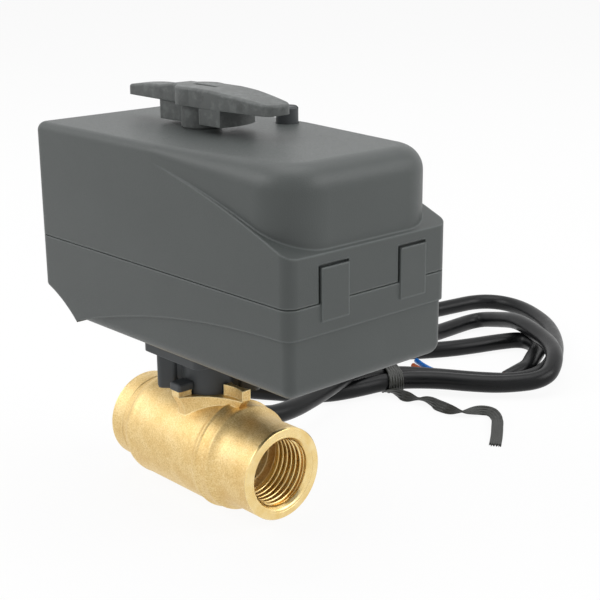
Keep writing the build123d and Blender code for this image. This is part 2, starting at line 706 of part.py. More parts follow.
def make_housing_cover():
    skirt = housing_plan(0, PARTING, COVER_TOP) & shoulder_side(0, PARTING)
    dome = extrude(Pos(0, 0, PARTING) * dome_plan(0), COVER_TOP - PARTING)
    cover = skirt + (dome & housing_plan(0, PARTING, COVER_TOP))
    for cutter in upper_edge_cutters():
        cover -= cutter
    half = HALF_WIDTH - WALL
    inner_skirt = block(INNER_REAR, HOUSING_FRONT - WALL, -half, half, PARTING - 1, ROOF)
    inner_skirt = fillet(inner_skirt.edges().filter_by(Axis.Z), 1.0) & shoulder_side(WALL, PARTING - 1)
    inner_dome = extrude(Pos(0, 0, PARTING + 1) * dome_plan(WALL), ROOF - PARTING - 1)
    thick_low = ROOF - THICK_ROOF_EXTRA
    inner_dome -= block(THICK_ROOF_X, HOUSING_FRONT, -HALF_WIDTH, HALF_WIDTH, thick_low, ROOF + 1)
    cover -= inner_skirt
    cover -= inner_dome
    groove_top = PARTING + PARTING_GROOVE_HEIGHT
    groove = housing_plan(-1, PARTING - 1, groove_top)
    cover -= groove - housing_plan(PARTING_GROOVE_DEPTH, PARTING - 2, groove_top + 1)
    for centre in TAB_CENTRES:
        cover -= tab_solid(centre, TAB_CLEARANCE)
    cover += ring_z(BUSH_R, SHAFT_NECK_R, SHAFT_NECK_Z + SEAT_GAP, ROOF + 1)
    cover -= cylinder_z(SHAFT_NECK_R + RUNNING_CLEARANCE, SHAFT_NECK_Z, COVER_TOP + 1)
    cover -= cylinder_z(BUTTON_R + 2 * FIT_GAP, ROOF - 1, COVER_TOP + 1, BUTTON_X, BUTTON_Y)
    for x, y in four_corners([(COVER_SCREW_X, COVER_SCREW_Y)]):
        cover += cylinder_z(COVER_COLUMN_R, PARTING, ROOF + 0.5, x, y)
        cover -= cylinder_z(SCREW_R, PARTING - 1, PARTING + SCREW_LENGTH + 1, x, y)
    return cover


# Gear train and motor

def involute_angle(base_r, radius):
    """Polar angle of an involute at a radius on or outside its base circle."""
    roll = math.sqrt(max((radius / base_r) ** 2 - 1, 0))
    return roll - math.atan(roll)


def gear_face(teeth, turn):
    """Outline of an involute spur gear with backlash, turned by 'turn' degrees."""
    pitch_r = MODULE * teeth / 2
    base_r = pitch_r * math.cos(math.radians(PRESSURE_ANGLE))
    root_r = pitch_r - DEDENDUM * MODULE
    tip_r = pitch_r + ADDENDUM * MODULE
    start_r = max(base_r, root_r)
    half_pitch = (math.pi * MODULE / 2 - BACKLASH / 2) / (2 * pitch_r)
    offset = half_pitch + involute_angle(base_r, pitch_r)

    def spot(radius, angle):
        return (radius * math.cos(angle), radius * math.sin(angle))

    edges = []
    step = 2 * math.pi / teeth
    for tooth in range(teeth):
        centre = math.radians(turn) + tooth * step
        flank = [(r, offset - involute_angle(base_r, r)) for r in (start_r, (start_r + tip_r) / 2, tip_r)]
        right = [spot(r, centre - a) for r, a in flank]
        left = [spot(r, centre + a) for r, a in flank]
        foot_right = spot(root_r, centre - flank[0][1])
        foot_left = spot(root_r, centre + flank[0][1])
        next_foot = spot(root_r, centre + step - flank[0][1])
        edges.append(Line(foot_right, right[0]))
        edges.append(ThreePointArc(*right))
        edges.append(Line(right[2], left[2]))
        edges.append(ThreePointArc(left[2], left[1], left[0]))
        edges.append(Line(left[0], foot_left))
        edges.append(Line(foot_left, next_foot))
    return make_face(Wire(edges))


def gear(teeth, turn, low, x):
    return Pos(x, 0, low) * extrude(gear_face(teeth, turn), GEAR_WIDTH)


def make_gear_plate():
    plate = block(PLATE_REAR, PLATE_FRONT, -PLATE_HALF, PLATE_HALF, PLATE_BOTTOM, PLATE_TOP)
    plate = fillet(plate.edges().filter_by(Axis.Z), 3.0)
    low, high = PLATE_BOTTOM - 1, PLATE_TOP + 1
    plate -= cylinder_z(SHAFT_R + RUNNING_CLEARANCE, low, high)
    plate -= cylinder_z(AXLE_R, low, high, IDLER_X)
    plate -= cylinder_z(MOTOR_BOSS_R + FIT_GAP, low, high, PINION_X)
    for x, y in four_corners(POST_PLACES) + four_corners([(MOTOR_X, MOTOR_SCREW_Y)]):
        plate -= cylinder_z(SCREW_R + FIT_GAP, low, high, x, y)
    return plate


def make_gear_plate_screws():
    length = PLATE_THICKNESS + SCREW_LENGTH - 2 * FIT_GAP
    screws = [screw_z(x, y, PLATE_TOP, length) for x, y in four_corners(POST_PLACES)]
    return Compound([screw.solid() for screw in screws])


def make_motor():
    motor = cylinder_z(MOTOR_R, PLATE_BOTTOM - MOTOR_HEIGHT, PLATE_BOTTOM, MOTOR_X)
    rims = motor.edges().filter_by(GeomType.CIRCLE)
    motor = fillet(rims.group_by(Axis.Z)[0], MOTOR_EDGE_R)
    motor += cylinder_z(MOTOR_BOSS_R, PLATE_BOTTOM, PLATE_TOP, PINION_X)
    bore_low = PLATE_TOP - PINION_SEAT_DEPTH - 1
    motor -= cylinder_z(AXLE_R + RUNNING_CLEARANCE, bore_low, PLATE_TOP + 1, PINION_X)
    for x, y in four_corners([(MOTOR_X, MOTOR_SCREW_Y)]):
        motor -= cylinder_z(SCREW_R, PLATE_BOTTOM - SCREW_LENGTH, PLATE_BOTTOM + 1, x, y)
    return motor


def make_motor_screws():
    length = PLATE_THICKNESS + SCREW_LENGTH - 2 * FIT_GAP
    screws = [screw_z(x, y, PLATE_TOP, length) for x, y in four_corners([(MOTOR_X, MOTOR_SCREW_Y)])]
    return Compound([screw.solid() for screw in screws])


def make_motor_pinion():
    pinion = gear(PINION_TEETH, 180 / PINION_TEETH, LOWER_GEAR_Z, PINION_X)
    shaft_top = LOWER_GEAR_Z + GEAR_WIDTH + 1
    return pinion + cylinder_z(AXLE_R, PLATE_TOP - PINION_SEAT_DEPTH, shaft_top, PINION_X)


def make_idler_gear():
    wheel = gear(IDLER_LARGE_TEETH, 0, LOWER_GEAR_Z, IDLER_X)
    small_root_r = MODULE * (IDLER_SMALL_TEETH / 2 - DEDENDUM)
    wheel += cylinder_z(small_root_r, LOWER_GEAR_Z, UPPER_GEAR_Z, IDLER_X)
    wheel += gear(IDLER_SMALL_TEETH, 180 / IDLER_SMALL_TEETH, UPPER_GEAR_Z, IDLER_X)
    web_r = MODULE * IDLER_LARGE_TEETH / 2 * 0.62
    hole = cylinder_z(WHEEL_HOLE_R, PLATE_TOP, UPPER_GEAR_Z, web_r)
    for number in range(IDLER_HOLES):
        wheel -= Pos(IDLER_X, 0, 0) * Rot(0, 0, 360 / IDLER_HOLES * number) * hole
    return wheel - cylinder_z(AXLE_R + RUNNING_CLEARANCE, PLATE_TOP, UPPER_GEAR_TOP + 1, IDLER_X)


def make_idler_axle():
    top = UPPER_GEAR_TOP + SEAT_GAP + CLIP_THICKNESS + 0.5
    axle = cylinder_z(AXLE_R, PLATE_BOTTOM, top, IDLER_X)
    return axle + ring_z(AXLE_R * 2, AXLE_R / 2, PLATE_TOP, LOWER_GEAR_Z - SEAT_GAP, IDLER_X)


def make_idler_clip():
    low = UPPER_GEAR_TOP + SEAT_GAP
    clip = ring_z(AXLE_R * 2.1, AXLE_R, low, low + CLIP_THICKNESS, IDLER_X)
    return clip - block(IDLER_X, IDLER_X + AXLE_R * 3, -0.7, 0.7, low - 1, low + CLIP_THICKNESS + 1)


def make_output_gear():
    wheel = gear(OUTPUT_TEETH, 0, UPPER_GEAR_Z, 0)
    wheel += cylinder_z(SHAFT_R * 1.5, UPPER_GEAR_Z, UPPER_GEAR_TOP + 2)
    web_r = MODULE * OUTPUT_TEETH / 2 * 0.7
    hole = cylinder_z(WHEEL_HOLE_R, UPPER_GEAR_Z - 1, UPPER_GEAR_TOP + 1, web_r)
    for number in range(OUTPUT_HOLES):
        wheel -= Rot(0, 0, 360 / OUTPUT_HOLES * (number + 0.5)) * hole
    return wheel - double_d(SHAFT_R + FIT_GAP, SHAFT_FLAT + FIT_GAP, UPPER_GEAR_Z - 1, UPPER_GEAR_TOP + 3)


# Output shaft, cam, lever and release button

def make_output_shaft():
    shaft = cylinder_z(SHAFT_R, SHAFT_BOTTOM, UPPER_GEAR_Z)
    shaft += double_d(SHAFT_R, SHAFT_FLAT, UPPER_GEAR_Z, SHAFT_NECK_Z)
    shaft += cylinder_z(SHAFT_NECK_R, SHAFT_NECK_Z, COVER_TOP + LEVER_GAP)
    half = LEVER_SQUARE / 2
    shaft += block(-half, half, -half, half, COVER_TOP + LEVER_GAP, LEVER_BOTTOM + LEVER_GAP)
    socket = STEM_SQUARE / 2 + FIT_GAP
    return shaft - block(-socket, socket, -socket, socket, SHAFT_BOTTOM - 1, STEM_TOP + FIT_GAP)


def make_switch_cam():
    top = CAM_BOTTOM + CAM_THICKNESS
    cam = cylinder_z(CAM_R, CAM_BOTTOM, top)
    reach = CAM_LOBE_R
    contact = math.degrees(math.atan2(SWITCH_Y, SWITCH_X - SWITCH_REACH))
    for angle in (-contact, 90 + contact):
        half = math.radians(CAM_LOBE_HALF_ANGLE)
        tip = [(reach * math.cos(a), reach * math.sin(a)) for a in (-half, 0, half)]
        lobe = make_face(Wire([Line((0, 0), tip[0]), ThreePointArc(*tip), Line(tip[2], (0, 0))]))
        cam += Rot(0, 0, angle) * Pos(0, 0, CAM_BOTTOM) * extrude(lobe, CAM_THICKNESS)
    cam += cylinder_z(SHAFT_R * 1.4, CAM_BOTTOM - 2, CAM_BOTTOM)
    return cam - double_d(SHAFT_R + FIT_GAP, SHAFT_FLAT + FIT_GAP, CAM_BOTTOM - 3, top + 1)


def make_limit_switch(side):
    depth, length, height = SWITCH_BODY
    y = side * SWITCH_Y
    body = block(SWITCH_X, SWITCH_X + depth, y - length / 2, y + length / 2, BOARD_TOP, BOARD_TOP + height)
    middle = CAM_BOTTOM + CAM_THICKNESS / 2
    plunger = Pos(SWITCH_X - SWITCH_REACH / 2, y, middle) * Box(SWITCH_REACH, 2.0, 2.0)
    return body + fillet(plunger.edges().filter_by(Axis.Z).group_by(Axis.X)[0], 0.6)


def make_limit_switches():
    return Compound([make_limit_switch(side).solid() for side in (-1, 1)])


def lever_plan():
    """Plan of the blade: a narrow rear wing, a round middle and a wider front wing."""
    rear = Polyline(
        (0, -LEVER_REAR_ROOT_HALF),
        (LEVER_REAR, -LEVER_REAR_TIP_HALF),
        (LEVER_REAR, LEVER_REAR_TIP_HALF),
        (0, LEVER_REAR_ROOT_HALF),
        close=True,
    )
    bend_x, bend_half = LEVER_FRONT_BEND
    front = Polyline(
        (0, -LEVER_FRONT_ROOT_HALF),
        (bend_x, -bend_half),
        (LEVER_FRONT, -LEVER_FRONT_TIP_HALF),
        (LEVER_FRONT, LEVER_FRONT_TIP_HALF),
        (bend_x, bend_half),
        (0, LEVER_FRONT_ROOT_HALF),
        close=True,
    )
    plan = make_face(rear) + make_face(front) + Circle(LEVER_DISC_R)
    plan = fillet(plan.vertices().group_by(Axis.X)[-1], LEVER_FRONT_TIP_HALF * 0.75)
    return fillet(plan.vertices().group_by(Axis.X)[0], LEVER_REAR_TIP_HALF * 0.6)


def lever_side():
    """Side view of the blade: a raised middle, stepped at the rear, that falls to both tips."""
    rear, front = LEVER_REAR - 1, LEVER_FRONT + 1
    crest_rear, crest_front = LEVER_CREST
    step_x, step_z = LEVER_STEP
    rear_middle = ((rear + step_x) / 2, (LEVER_TIP_TOP + step_z) / 2 + LEVER_SAG)
    front_middle = ((crest_front + front) / 2, (LEVER_TOP + LEVER_TIP_TOP) / 2 + LEVER_SAG)
    return side_outline(
        [
            Line((rear, LEVER_BOTTOM), (rear, LEVER_TIP_TOP)),
            ThreePointArc((rear, LEVER_TIP_TOP), rear_middle, (step_x, step_z)),
            Line((step_x, step_z), (crest_rear, LEVER_TOP)),
            Line((crest_rear, LEVER_TOP), (crest_front, LEVER_TOP)),
            ThreePointArc((crest_front, LEVER_TOP), front_middle, (front, LEVER_TIP_TOP)),
            Line((front, LEVER_TIP_TOP), (front, LEVER_BOTTOM)),
            Line((front, LEVER_BOTTOM), (rear, LEVER_BOTTOM)),
        ],
        LEVER_DISC_R * 2,
    )


def lever_stop_block():
    """Block under the front wing, with one straight side and a bowed end."""
    x0, x1 = LEVER_BLOCK_X
    near, far = LEVER_BLOCK_Y
    far_x = x1 - LEVER_EDGE_R * 2
    edges = [
        Line((x0, near), (x1, near)),
        ThreePointArc((x1, near), (LEVER_BLOCK_NOSE, (near + far) / 2), (far_x, far)),
        Line((far_x, far), (x0, far)),
        Line((x0, far), (x0, near)),
    ]
    outline = Pos(0, 0, LEVER_BLOCK_BOTTOM) * make_face(Wire(edges))
    return extrude(outline, LEVER_BOTTOM - LEVER_BLOCK_BOTTOM)


def make_manual_lever():
    lever = extrude(Pos(0, 0, LEVER_BOTTOM) * lever_plan(), LEVER_TOP - LEVER_BOTTOM) & lever_side()
    middle_z = (LEVER_BOTTOM + LEVER_TIP_TOP) / 2
    upper = [e for e in lever.edges() if e.bounding_box().min.Z > middle_z and not e.is_interior]
    lever = fillet(upper, LEVER_EDGE_R)
    low = COVER_TOP + LEVER_GAP
    lever += cylinder_z(LEVER_HUB_R, low, LEVER_BOTTOM)
    lever += block(LEVER_RIB_X0, 0, -LEVER_RIB_HALF, LEVER_RIB_HALF, LEVER_RIB_BOTTOM, LEVER_BOTTOM)
    lever += lever_stop_block()
    half = LEVER_SQUARE / 2 + FIT_GAP / 2
    lever -= block(-half, half, -half, half, low - 1, LEVER_BOTTOM + 2 * LEVER_GAP)
    slot_x = (LEVER_SLOT_X - LEVER_SLOT_LENGTH / 2, LEVER_SLOT_X + LEVER_SLOT_LENGTH / 2)
    slot_half = LEVER_SLOT_WIDTH / 2
    return lever - block(*slot_x, -slot_half, slot_half, LEVER_TOP - LEVER_SLOT_DEPTH, LEVER_TOP + 1)


def make_release_button():
    button = cylinder_z(BUTTON_R, BUTTON_FLANGE_TOP, BUTTON_TOP, BUTTON_X, BUTTON_Y)
    button = chamfer(button.edges().filter_by(GeomType.CIRCLE).group_by(Axis.Z)[-1], 0.5)
    button += cylinder_z(BUTTON_FLANGE_R, BUTTON_FLANGE_BOTTOM, BUTTON_FLANGE_TOP, BUTTON_X, BUTTON_Y)
    stem_low = GUIDE_TOP - BUTTON_TRAVEL
    button += cylinder_z(BUTTON_STEM_R, stem_low, BUTTON_FLANGE_BOTTOM, BUTTON_X, BUTTON_Y)
    half = BUTTON_SLOT_WIDTH / 2
    reach = BUTTON_R + 1
    slot = block(-reach, reach, -half, half, BUTTON_TOP - BUTTON_SLOT_DEPTH, BUTTON_TOP + 1)
    return button - Pos(BUTTON_X, BUTTON_Y, 0) * Rot(0, 0, 35) * slot


def make_button_guide():
    guide = cylinder_z(GUIDE_R, PLATE_TOP, GUIDE_TOP, BUTTON_X, BUTTON_Y)
    bore_low = GUIDE_TOP - 2 * BUTTON_TRAVEL - 1
    return guide - cylinder_z(BUTTON_STEM_R + FIT_GAP, bore_low, GUIDE_TOP + 1, BUTTON_X, BUTTON_Y)


def make_button_spring():
    low = GUIDE_TOP + SEAT_GAP + SPRING_WIRE / 2
    height = SPRING_LENGTH - SPRING_WIRE
    path = Helix(height / SPRING_TURNS, height, SPRING_MEAN_R)
    wire_end = Plane(origin=path @ 0, z_dir=path % 0) * Rectangle(SPRING_WIRE, SPRING_WIRE)
    return Pos(BUTTON_X, BUTTON_Y, low) * sweep(wire_end, path=path, is_frenet=True)


# Circuit board

def spacer_places():
    return four_corners([(x, SPACER_Y) for x in SPACER_X])


def make_circuit_board():
    board = block(BOARD_REAR, BOARD_FRONT, -BOARD_HALF, BOARD_HALF, BOARD_BOTTOM, BOARD_TOP)
    board = fillet(board.edges().filter_by(Axis.Z), 1.5)
    for x, y in spacer_places():
        board -= cylinder_z(SCREW_R + FIT_GAP, BOARD_BOTTOM - 1, BOARD_TOP + 1, x, y)
    return board


def on_board(place, size):
    """Block of a component's size that stands on the circuit board."""
    return Pos(*place, BOARD_TOP + size[2] / 2) * Box(*size)


def make_board_components():
    film = on_board(FILM_CAPACITOR_PLACE, FILM_CAPACITOR_SIZE)
    pieces = [
        cylinder_z(CAPACITOR_R, BOARD_TOP, BOARD_TOP + CAPACITOR_HEIGHT, *CAPACITOR_PLACE),
        on_board(RELAY_PLACE, RELAY_SIZE),
        on_board(CHIP_PLACE, CHIP_SIZE),
        fillet(film.edges().filter_by(Axis.Z), FILM_CAPACITOR_CORNER_R),
        on_board(HEADER_PLACE, HEADER_SIZE),
    ]
    return Compound([piece.solid() for piece in pieces])


def make_board_spacers():
    spacers = []
    for x, y in spacer_places():
        hexagon = extrude(Pos(x, y, PLATE_TOP) * RegularPolygon(SPACER_R, 6), BOARD_BOTTOM - PLATE_TOP)
        hexagon -= cylinder_z(SCREW_R, BOARD_BOTTOM - SCREW_LENGTH, BOARD_BOTTOM + 1, x, y)
        spacers.append(hexagon.solid())
    return Compound(spacers)


def make_board_screws():
    length = BOARD_THICKNESS + SCREW_LENGTH - 2 * FIT_GAP
    screws = [screw_z(x, y, BOARD_TOP, length, head_r=SMALL_HEAD_R) for x, y in spacer_places()]
    return Compound([screw.solid() for screw in screws])


def make_terminal_block():
    low = HOUSING_BOTTOM + FLOOR
    top = low + TERMINAL_HEIGHT
    x0, x1 = TERMINAL_X - TERMINAL_DEPTH / 2, TERMINAL_X + TERMINAL_DEPTH / 2
    half = TERMINAL_LENGTH / 2
    part = block(x0, x1, -half, half, low, top)
    depth, width, height = TERMINAL_INLET
    inlet_z = low + TERMINAL_INLET_Z
    for number in range(TERMINAL_WAYS):
        y = (number - (TERMINAL_WAYS - 1) / 2) * TERMINAL_LENGTH / TERMINAL_WAYS
        part -= cylinder_z(TERMINAL_SCREW_R, top - TERMINAL_SCREW_DEPTH, top + 1, TERMINAL_X, y)
        part -= block(x0 - 1, x0 + depth, y - width / 2, y + width / 2, inlet_z, inlet_z + height)
    return part


# Cable

def tube(points, radius, share=0.45):
    """Round tube along straight runs joined by tangent arcs; prints the arc radii."""
    spots = [Vector(*p) for p in points]
    radii = []
    for before, here, after in zip(spots, spots[1:], spots[2:]):
        turn = (here - before).get_angle(after - here)
        shorter = min((here - before).length, (after - here).length)
        radii.append(share * shorter / math.tan(math.radians(turn) / 2))
    path = FilletPolyline(*points, radius=radii)
    start = Plane(origin=path @ 0, z_dir=path % 0)
    solid = sweep(start * Circle(radius), path=path)
    expected = math.pi * radius**2 * path.length
    print("arc radii", [round(r, 1) for r in radii])
    print("tube length", round(path.length, 1), "volume share", round(solid.volume / expected, 4))
    return solid, path


LEAD_ROUTE = (
    (GLAND_X, GLAND_Y, HOUSING_BOTTOM - GLAND_LENGTH),
    (GLAND_X, GLAND_Y, 8.6),
    (-15.0, 21.8, 0.4),
    (-12.2, 30.5, -4.4),
    (-12.2, 42.0, CROSS_Z),
    (-16.4, 57.0, CROSS_Z - 0.3),
    (-21.5, 73.0, CROSS_Z),
    (-30.5, 97.0, CROSS_Z + 0.5),
    (-37.6, 117.0, CROSS_Z),
    (-42.6, 131.0, CROSS_Z - 0.3),
    (-45.6, 140.0, -9.6),
    (-47.32, 148.5, CABLE_Z),
    (-47.5, 157.0, CABLE_Z),
)

HANK_ROUTE = (
    (-47.5, 157.0, CABLE_Z),
    (-47.91, 176.5, CABLE_Z),
    (-34.0, 174.0, -8.6),
    (-21.5, 169.5, -5.3),
    (-4.4, 161.2, -5.3),
    (6.5, 154.0, -5.3),
    (15.0, 145.0, -6.3),
    (19.8, 133.5, -9.6),
    (10.5, 121.8, -10.9),
    (1.5, 113.9, -10.7),
    (-8.2, 107.6, -10.5),
    (-20.2, 97.4, CABLE_Z + TIE_LIFT),
    (-24.7, 81.0, CABLE_Z + 0.3),
    (-29.5, 71.0, CABLE_Z),
    (-41.8, 61.6, CABLE_Z),
    (-56.0, 52.0, CABLE_Z),
    (-71.0, 43.0, CABLE_Z),
    (-85.0, 50.5, CABLE_Z),
    (-88.6, 67.0, CABLE_Z),
    (-86.0, 93.0, CABLE_Z),
    (-79.5, 122.0, CABLE_Z),
    (-71.5, 152.0, CABLE_Z),
    (-67.4, 178.5, CABLE_Z),
    (-64.0, 199.0, CABLE_Z),
    (-49.0, 204.0, CABLE_Z),
    (-26.0, 193.5, CABLE_Z),
    (-8.7, 177.2, CABLE_Z),
    (4.5, 159.0, CABLE_Z),
    (10.8, 142.6, CABLE_Z),
    (9.0, 129.6, CABLE_Z),
    (-1.6, 120.9, CABLE_Z),
    (-13.6, 112.9, CABLE_Z + 0.3),
    (-25.9, 100.9, CABLE_Z + TIE_LIFT),
    (-31.4, 84.6, CABLE_Z + 0.3),
    (-35.4, 76.6, CABLE_Z),
    (-46.0, 67.6, CABLE_Z),
    (-58.0, 59.4, CABLE_Z),
    (-69.0, 53.0, CABLE_Z),
    (-78.6, 58.0, CABLE_Z),
    (-80.6, 71.0, CABLE_Z),
    (-76.0, 87.0, CABLE_Z),
    (-64.0, 101.5, CABLE_Z),
    (-51.0, 114.0, CABLE_Z),
    (-40.0, 125.5, CABLE_Z),
    (-31.6, 138.5, CABLE_Z),
    (-27.0, 149.5, CABLE_Z),
    (-23.7, 159.5, CABLE_Z),
    (-18.8, 170.0, CABLE_Z),
    (-8.0, 166.2, CABLE_Z),
    (-3.4, 155.2, CABLE_Z),
    (1.6, 145.6, CABLE_Z),
    (2.6, 141.0, CABLE_Z),
)

CORE_ROUTES = (
    (
        (1.5, 140.4, -13.0),
        (1.6, 135.6, -14.0),
        (-5.6, 129.4, -14.4),
        (-15.4, 124.9, -14.4),
        (-24.9, 123.8, -14.4),
        (-32.4, 126.2, -14.4),
    ),
    (
        (2.7, 140.6, -11.2),
        (3.4, 135.2, -12.2),
        (-3.8, 127.6, -14.2),
        (-14.4, 121.9, -14.4),
        (-25.0, 120.9, -14.4),
        (-33.4, 123.0, -14.4),
    ),
    (
        (3.9, 140.8, -13.0),
        (4.7, 136.0, -14.0),
        (2.0, 130.6, -14.4),
        (-3.8, 124.4, -14.4),
        (-14.6, 117.4, -14.4),
        (-24.0, 110.6, -14.4),
    ),
)

TIE_PLACES = ((-19.3, 96.8), (-25.1, 100.4))
TIE_TAIL = ((-19.0, 96.2), (-9.0, 94.0), (6.0, 95.6), (17.0, 104.6), (30.0, 97.0), (38.5, 85.0))


def least_gap(path, width):
    """Least distance between turns of one path, less its width, measured on points."""
    step = 2.0
    count = int(path.length / step)
    spots = [path @ (n / count) for n in range(count + 1)]
    apart = int(6 * width / step)
    least = 1e9
    for first in range(len(spots)):
        for second in range(first + apart, len(spots)):
            least = min(least, (spots[first] - spots[second]).length)
    return least - width


def make_strain_relief():
    """Flexible boot: a tapered sleeve below the floor and a flange inside it."""
    low = HOUSING_BOTTOM - GLAND_LENGTH
    top = HOUSING_BOTTOM
    inside = HOUSING_BOTTOM + FLOOR
    neck = GLAND_NECK_R - FIT_GAP / 2
    outline = Polyline(
        (CABLE_R + FIT_GAP / 2, low),
        (GLAND_TIP_R, low),
        (GLAND_TOP_R, top - 3),
        (GLAND_TOP_R + 0.8, top - 3),
        (GLAND_TOP_R + 0.8, top),
        (neck, top),
        (neck, inside),
        (GLAND_FLANGE_R, inside),
        (GLAND_FLANGE_R, inside + GLAND_FLANGE_THICKNESS),
        (CABLE_R + FIT_GAP / 2, inside + GLAND_FLANGE_THICKNESS),
        close=True,
    )
    boot = revolve(Plane.XZ * make_face(outline), Axis.Z)
    return Pos(GLAND_X, GLAND_Y, 0) * boot


def make_power_cable():
    return tube(LEAD_ROUTE, CABLE_R)[0]


def make_cable_hank():
    solid, path = tube(HANK_ROUTE, CABLE_R)
    print("least gap between the hank's turns", round(least_gap(path, 2 * CABLE_R), 2))
    return solid


def make_cable_cores():
    return Compound([tube(route, CORE_R)[0].solid() for route in CORE_ROUTES])


def make_twist_tie():
    """Band round the two strands, with its ends laid out on the floor."""
    first, second = [Vector(x, y, CABLE_Z + TIE_LIFT - FIT_GAP) for x, y in TIE_PLACES]
    middle = (first + second) * 0.5
    across = (first - second).normalized()
    along = Vector(0, 0, 1).cross(across)
    plane = Plane(origin=middle - along * (TIE_WIDTH / 2), x_dir=across, z_dir=along)
    spacing = (first - second).length
    inner_r = CABLE_R + TIE_CLEARANCE
    outside = SlotCenterToCenter(spacing, 2 * (inner_r + TIE_THICKNESS))
    band = outside - SlotCenterToCenter(spacing, 2 * inner_r)
    tie = extrude(plane * band, TIE_WIDTH)
    strip = trace(Polyline(*TIE_TAIL), line_width=TIE_WIDTH)
    tail = extrude(Pos(0, 0, -BARREL_R) * strip, TIE_THICKNESS)
    return tie + tail


PIECES = {
    "valve_body": make_valve_body,
    "end_connector": make_end_connector,
    "body_seal": make_body_seal,
    "ball": make_ball,
    "seat_ring_front": lambda: make_seat_ring(1),
    "seat_ring_rear": lambda: make_seat_ring(-1),
    "stem": make_stem,
    "stem_thrust_washer": make_stem_thrust_washer,
    "stem_o_rings": make_stem_o_rings,
    "adapter": make_adapter,
    "adapter_screws": make_adapter_screws,
    "retaining_ring": make_retaining_ring,
    "housing_base": make_housing_base,
    "housing_cover": make_housing_cover,
    "cover_gasket": make_cover_gasket,
    "cover_screws": make_cover_screws,
    "gear_plate": make_gear_plate,
    "gear_plate_screws": make_gear_plate_screws,
    "motor": make_motor,
    "motor_screws": make_motor_screws,
    "motor_pinion": make_motor_pinion,
    "idler_gear": make_idler_gear,
    "idler_axle": make_idler_axle,
    "idler_clip": make_idler_clip,
    "output_gear": make_output_gear,
    "output_shaft": make_output_shaft,
    "switch_cam": make_switch_cam,
    "limit_switches": make_limit_switches,
    "circuit_board": make_circuit_board,
    "board_components": make_board_components,
    "board_spacers": make_board_spacers,
    "board_screws": make_board_screws,
    "terminal_block": make_terminal_block,
    "manual_lever": make_manual_lever,
    "release_button": make_release_button,
    "button_spring": make_button_spring,
    "button_guide": make_button_guide,
    "strain_relief": make_strain_relief,
    "power_cable": make_power_cable,
    "cable_hank": make_cable_hank,
    "cable_cores": make_cable_cores,
    "twist_tie": make_twist_tie,
}

os.makedirs("parts", exist_ok=True)
for name, make in PIECES.items():
    export_step(Pos(-HALF_LENGTH, 0, 0) * make(), "parts/" + name + ".step")
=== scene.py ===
import json
import math

import bmesh
import bpy
from mathutils import Matrix, Vector


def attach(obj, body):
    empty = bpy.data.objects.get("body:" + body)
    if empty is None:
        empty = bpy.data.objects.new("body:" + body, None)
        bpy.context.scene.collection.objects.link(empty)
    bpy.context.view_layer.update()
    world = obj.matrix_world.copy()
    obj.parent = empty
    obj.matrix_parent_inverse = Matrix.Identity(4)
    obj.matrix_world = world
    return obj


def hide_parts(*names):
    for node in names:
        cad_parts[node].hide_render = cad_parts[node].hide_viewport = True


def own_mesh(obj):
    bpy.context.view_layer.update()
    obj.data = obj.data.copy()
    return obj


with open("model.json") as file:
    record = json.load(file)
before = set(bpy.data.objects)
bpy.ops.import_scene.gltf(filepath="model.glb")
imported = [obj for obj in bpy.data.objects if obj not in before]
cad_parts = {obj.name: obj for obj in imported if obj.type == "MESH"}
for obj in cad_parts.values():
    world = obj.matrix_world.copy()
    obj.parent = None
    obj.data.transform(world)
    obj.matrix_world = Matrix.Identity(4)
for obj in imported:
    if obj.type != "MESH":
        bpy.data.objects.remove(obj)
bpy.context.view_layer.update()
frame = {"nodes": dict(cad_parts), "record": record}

nodes = frame["nodes"]
scene = bpy.context.scene

# Lengths are in millimetres until at() or MM makes them metres, unless a comment says otherwise.
MM = 0.001
SHIFT = -31.6  # the stem's axis, along the pipe from the origin at the outlet's mouth
FLOOR = -15.4
UP = Vector((0.0, 0.0, 1.0))


def at(x, y, z):
    """A point given in millimetres about the stem's axis, in metres in the frame of the part."""
    return Vector(((x + SHIFT) * MM, y * MM, z * MM))


# Camera at the photograph's viewing angle; its place is in metres
AZIMUTH, ELEVATION, ROLL = math.radians(47.825), math.radians(16.737), math.radians(-0.477)
CAMERA_PLACE = Vector((0.2446, -0.2148, 0.1478))
LENS, SENSOR_WIDTH = 77.32, 36.0

back = Vector((math.sin(AZIMUTH) * math.cos(ELEVATION), -math.cos(AZIMUTH) * math.cos(ELEVATION),
               math.sin(ELEVATION)))
right = Vector((math.cos(AZIMUTH), math.sin(AZIMUTH), 0.0))
up = back.cross(right)
turned_right = right * math.cos(ROLL) + up * math.sin(ROLL)
turned_up = up * math.cos(ROLL) - right * math.sin(ROLL)
camera = bpy.data.objects.new("camera", bpy.data.cameras.new("camera"))
scene.collection.objects.link(camera)
camera.data.lens = LENS
camera.data.sensor_width = SENSOR_WIDTH
camera.data.clip_start = 0.01
camera.data.clip_end = 20.0
camera.matrix_world = Matrix.Translation(CAMERA_PLACE) @ Matrix(
    (turned_right, turned_up, back)).transposed().to_4x4()
scene.camera = camera
scene.view_settings.view_transform = "Standard"


# Pieces from points

def piece(name, points, faces, smooth=True):
    """A mesh piece that rides with the fixed body; points are in metres."""
    data = bpy.data.meshes.new(name)
    data.from_pydata([tuple(p) for p in points], [], faces)
    data.update()
    work = bmesh.new()
    work.from_mesh(data)
    bmesh.ops.recalc_face_normals(work, faces=work.faces)
    work.to_mesh(data)
    work.free()
    for face in data.polygons:
        face.use_smooth = smooth
    thing = bpy.data.objects.new(name, data)
    scene.collection.objects.link(thing)
    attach(thing, "root")
    return thing


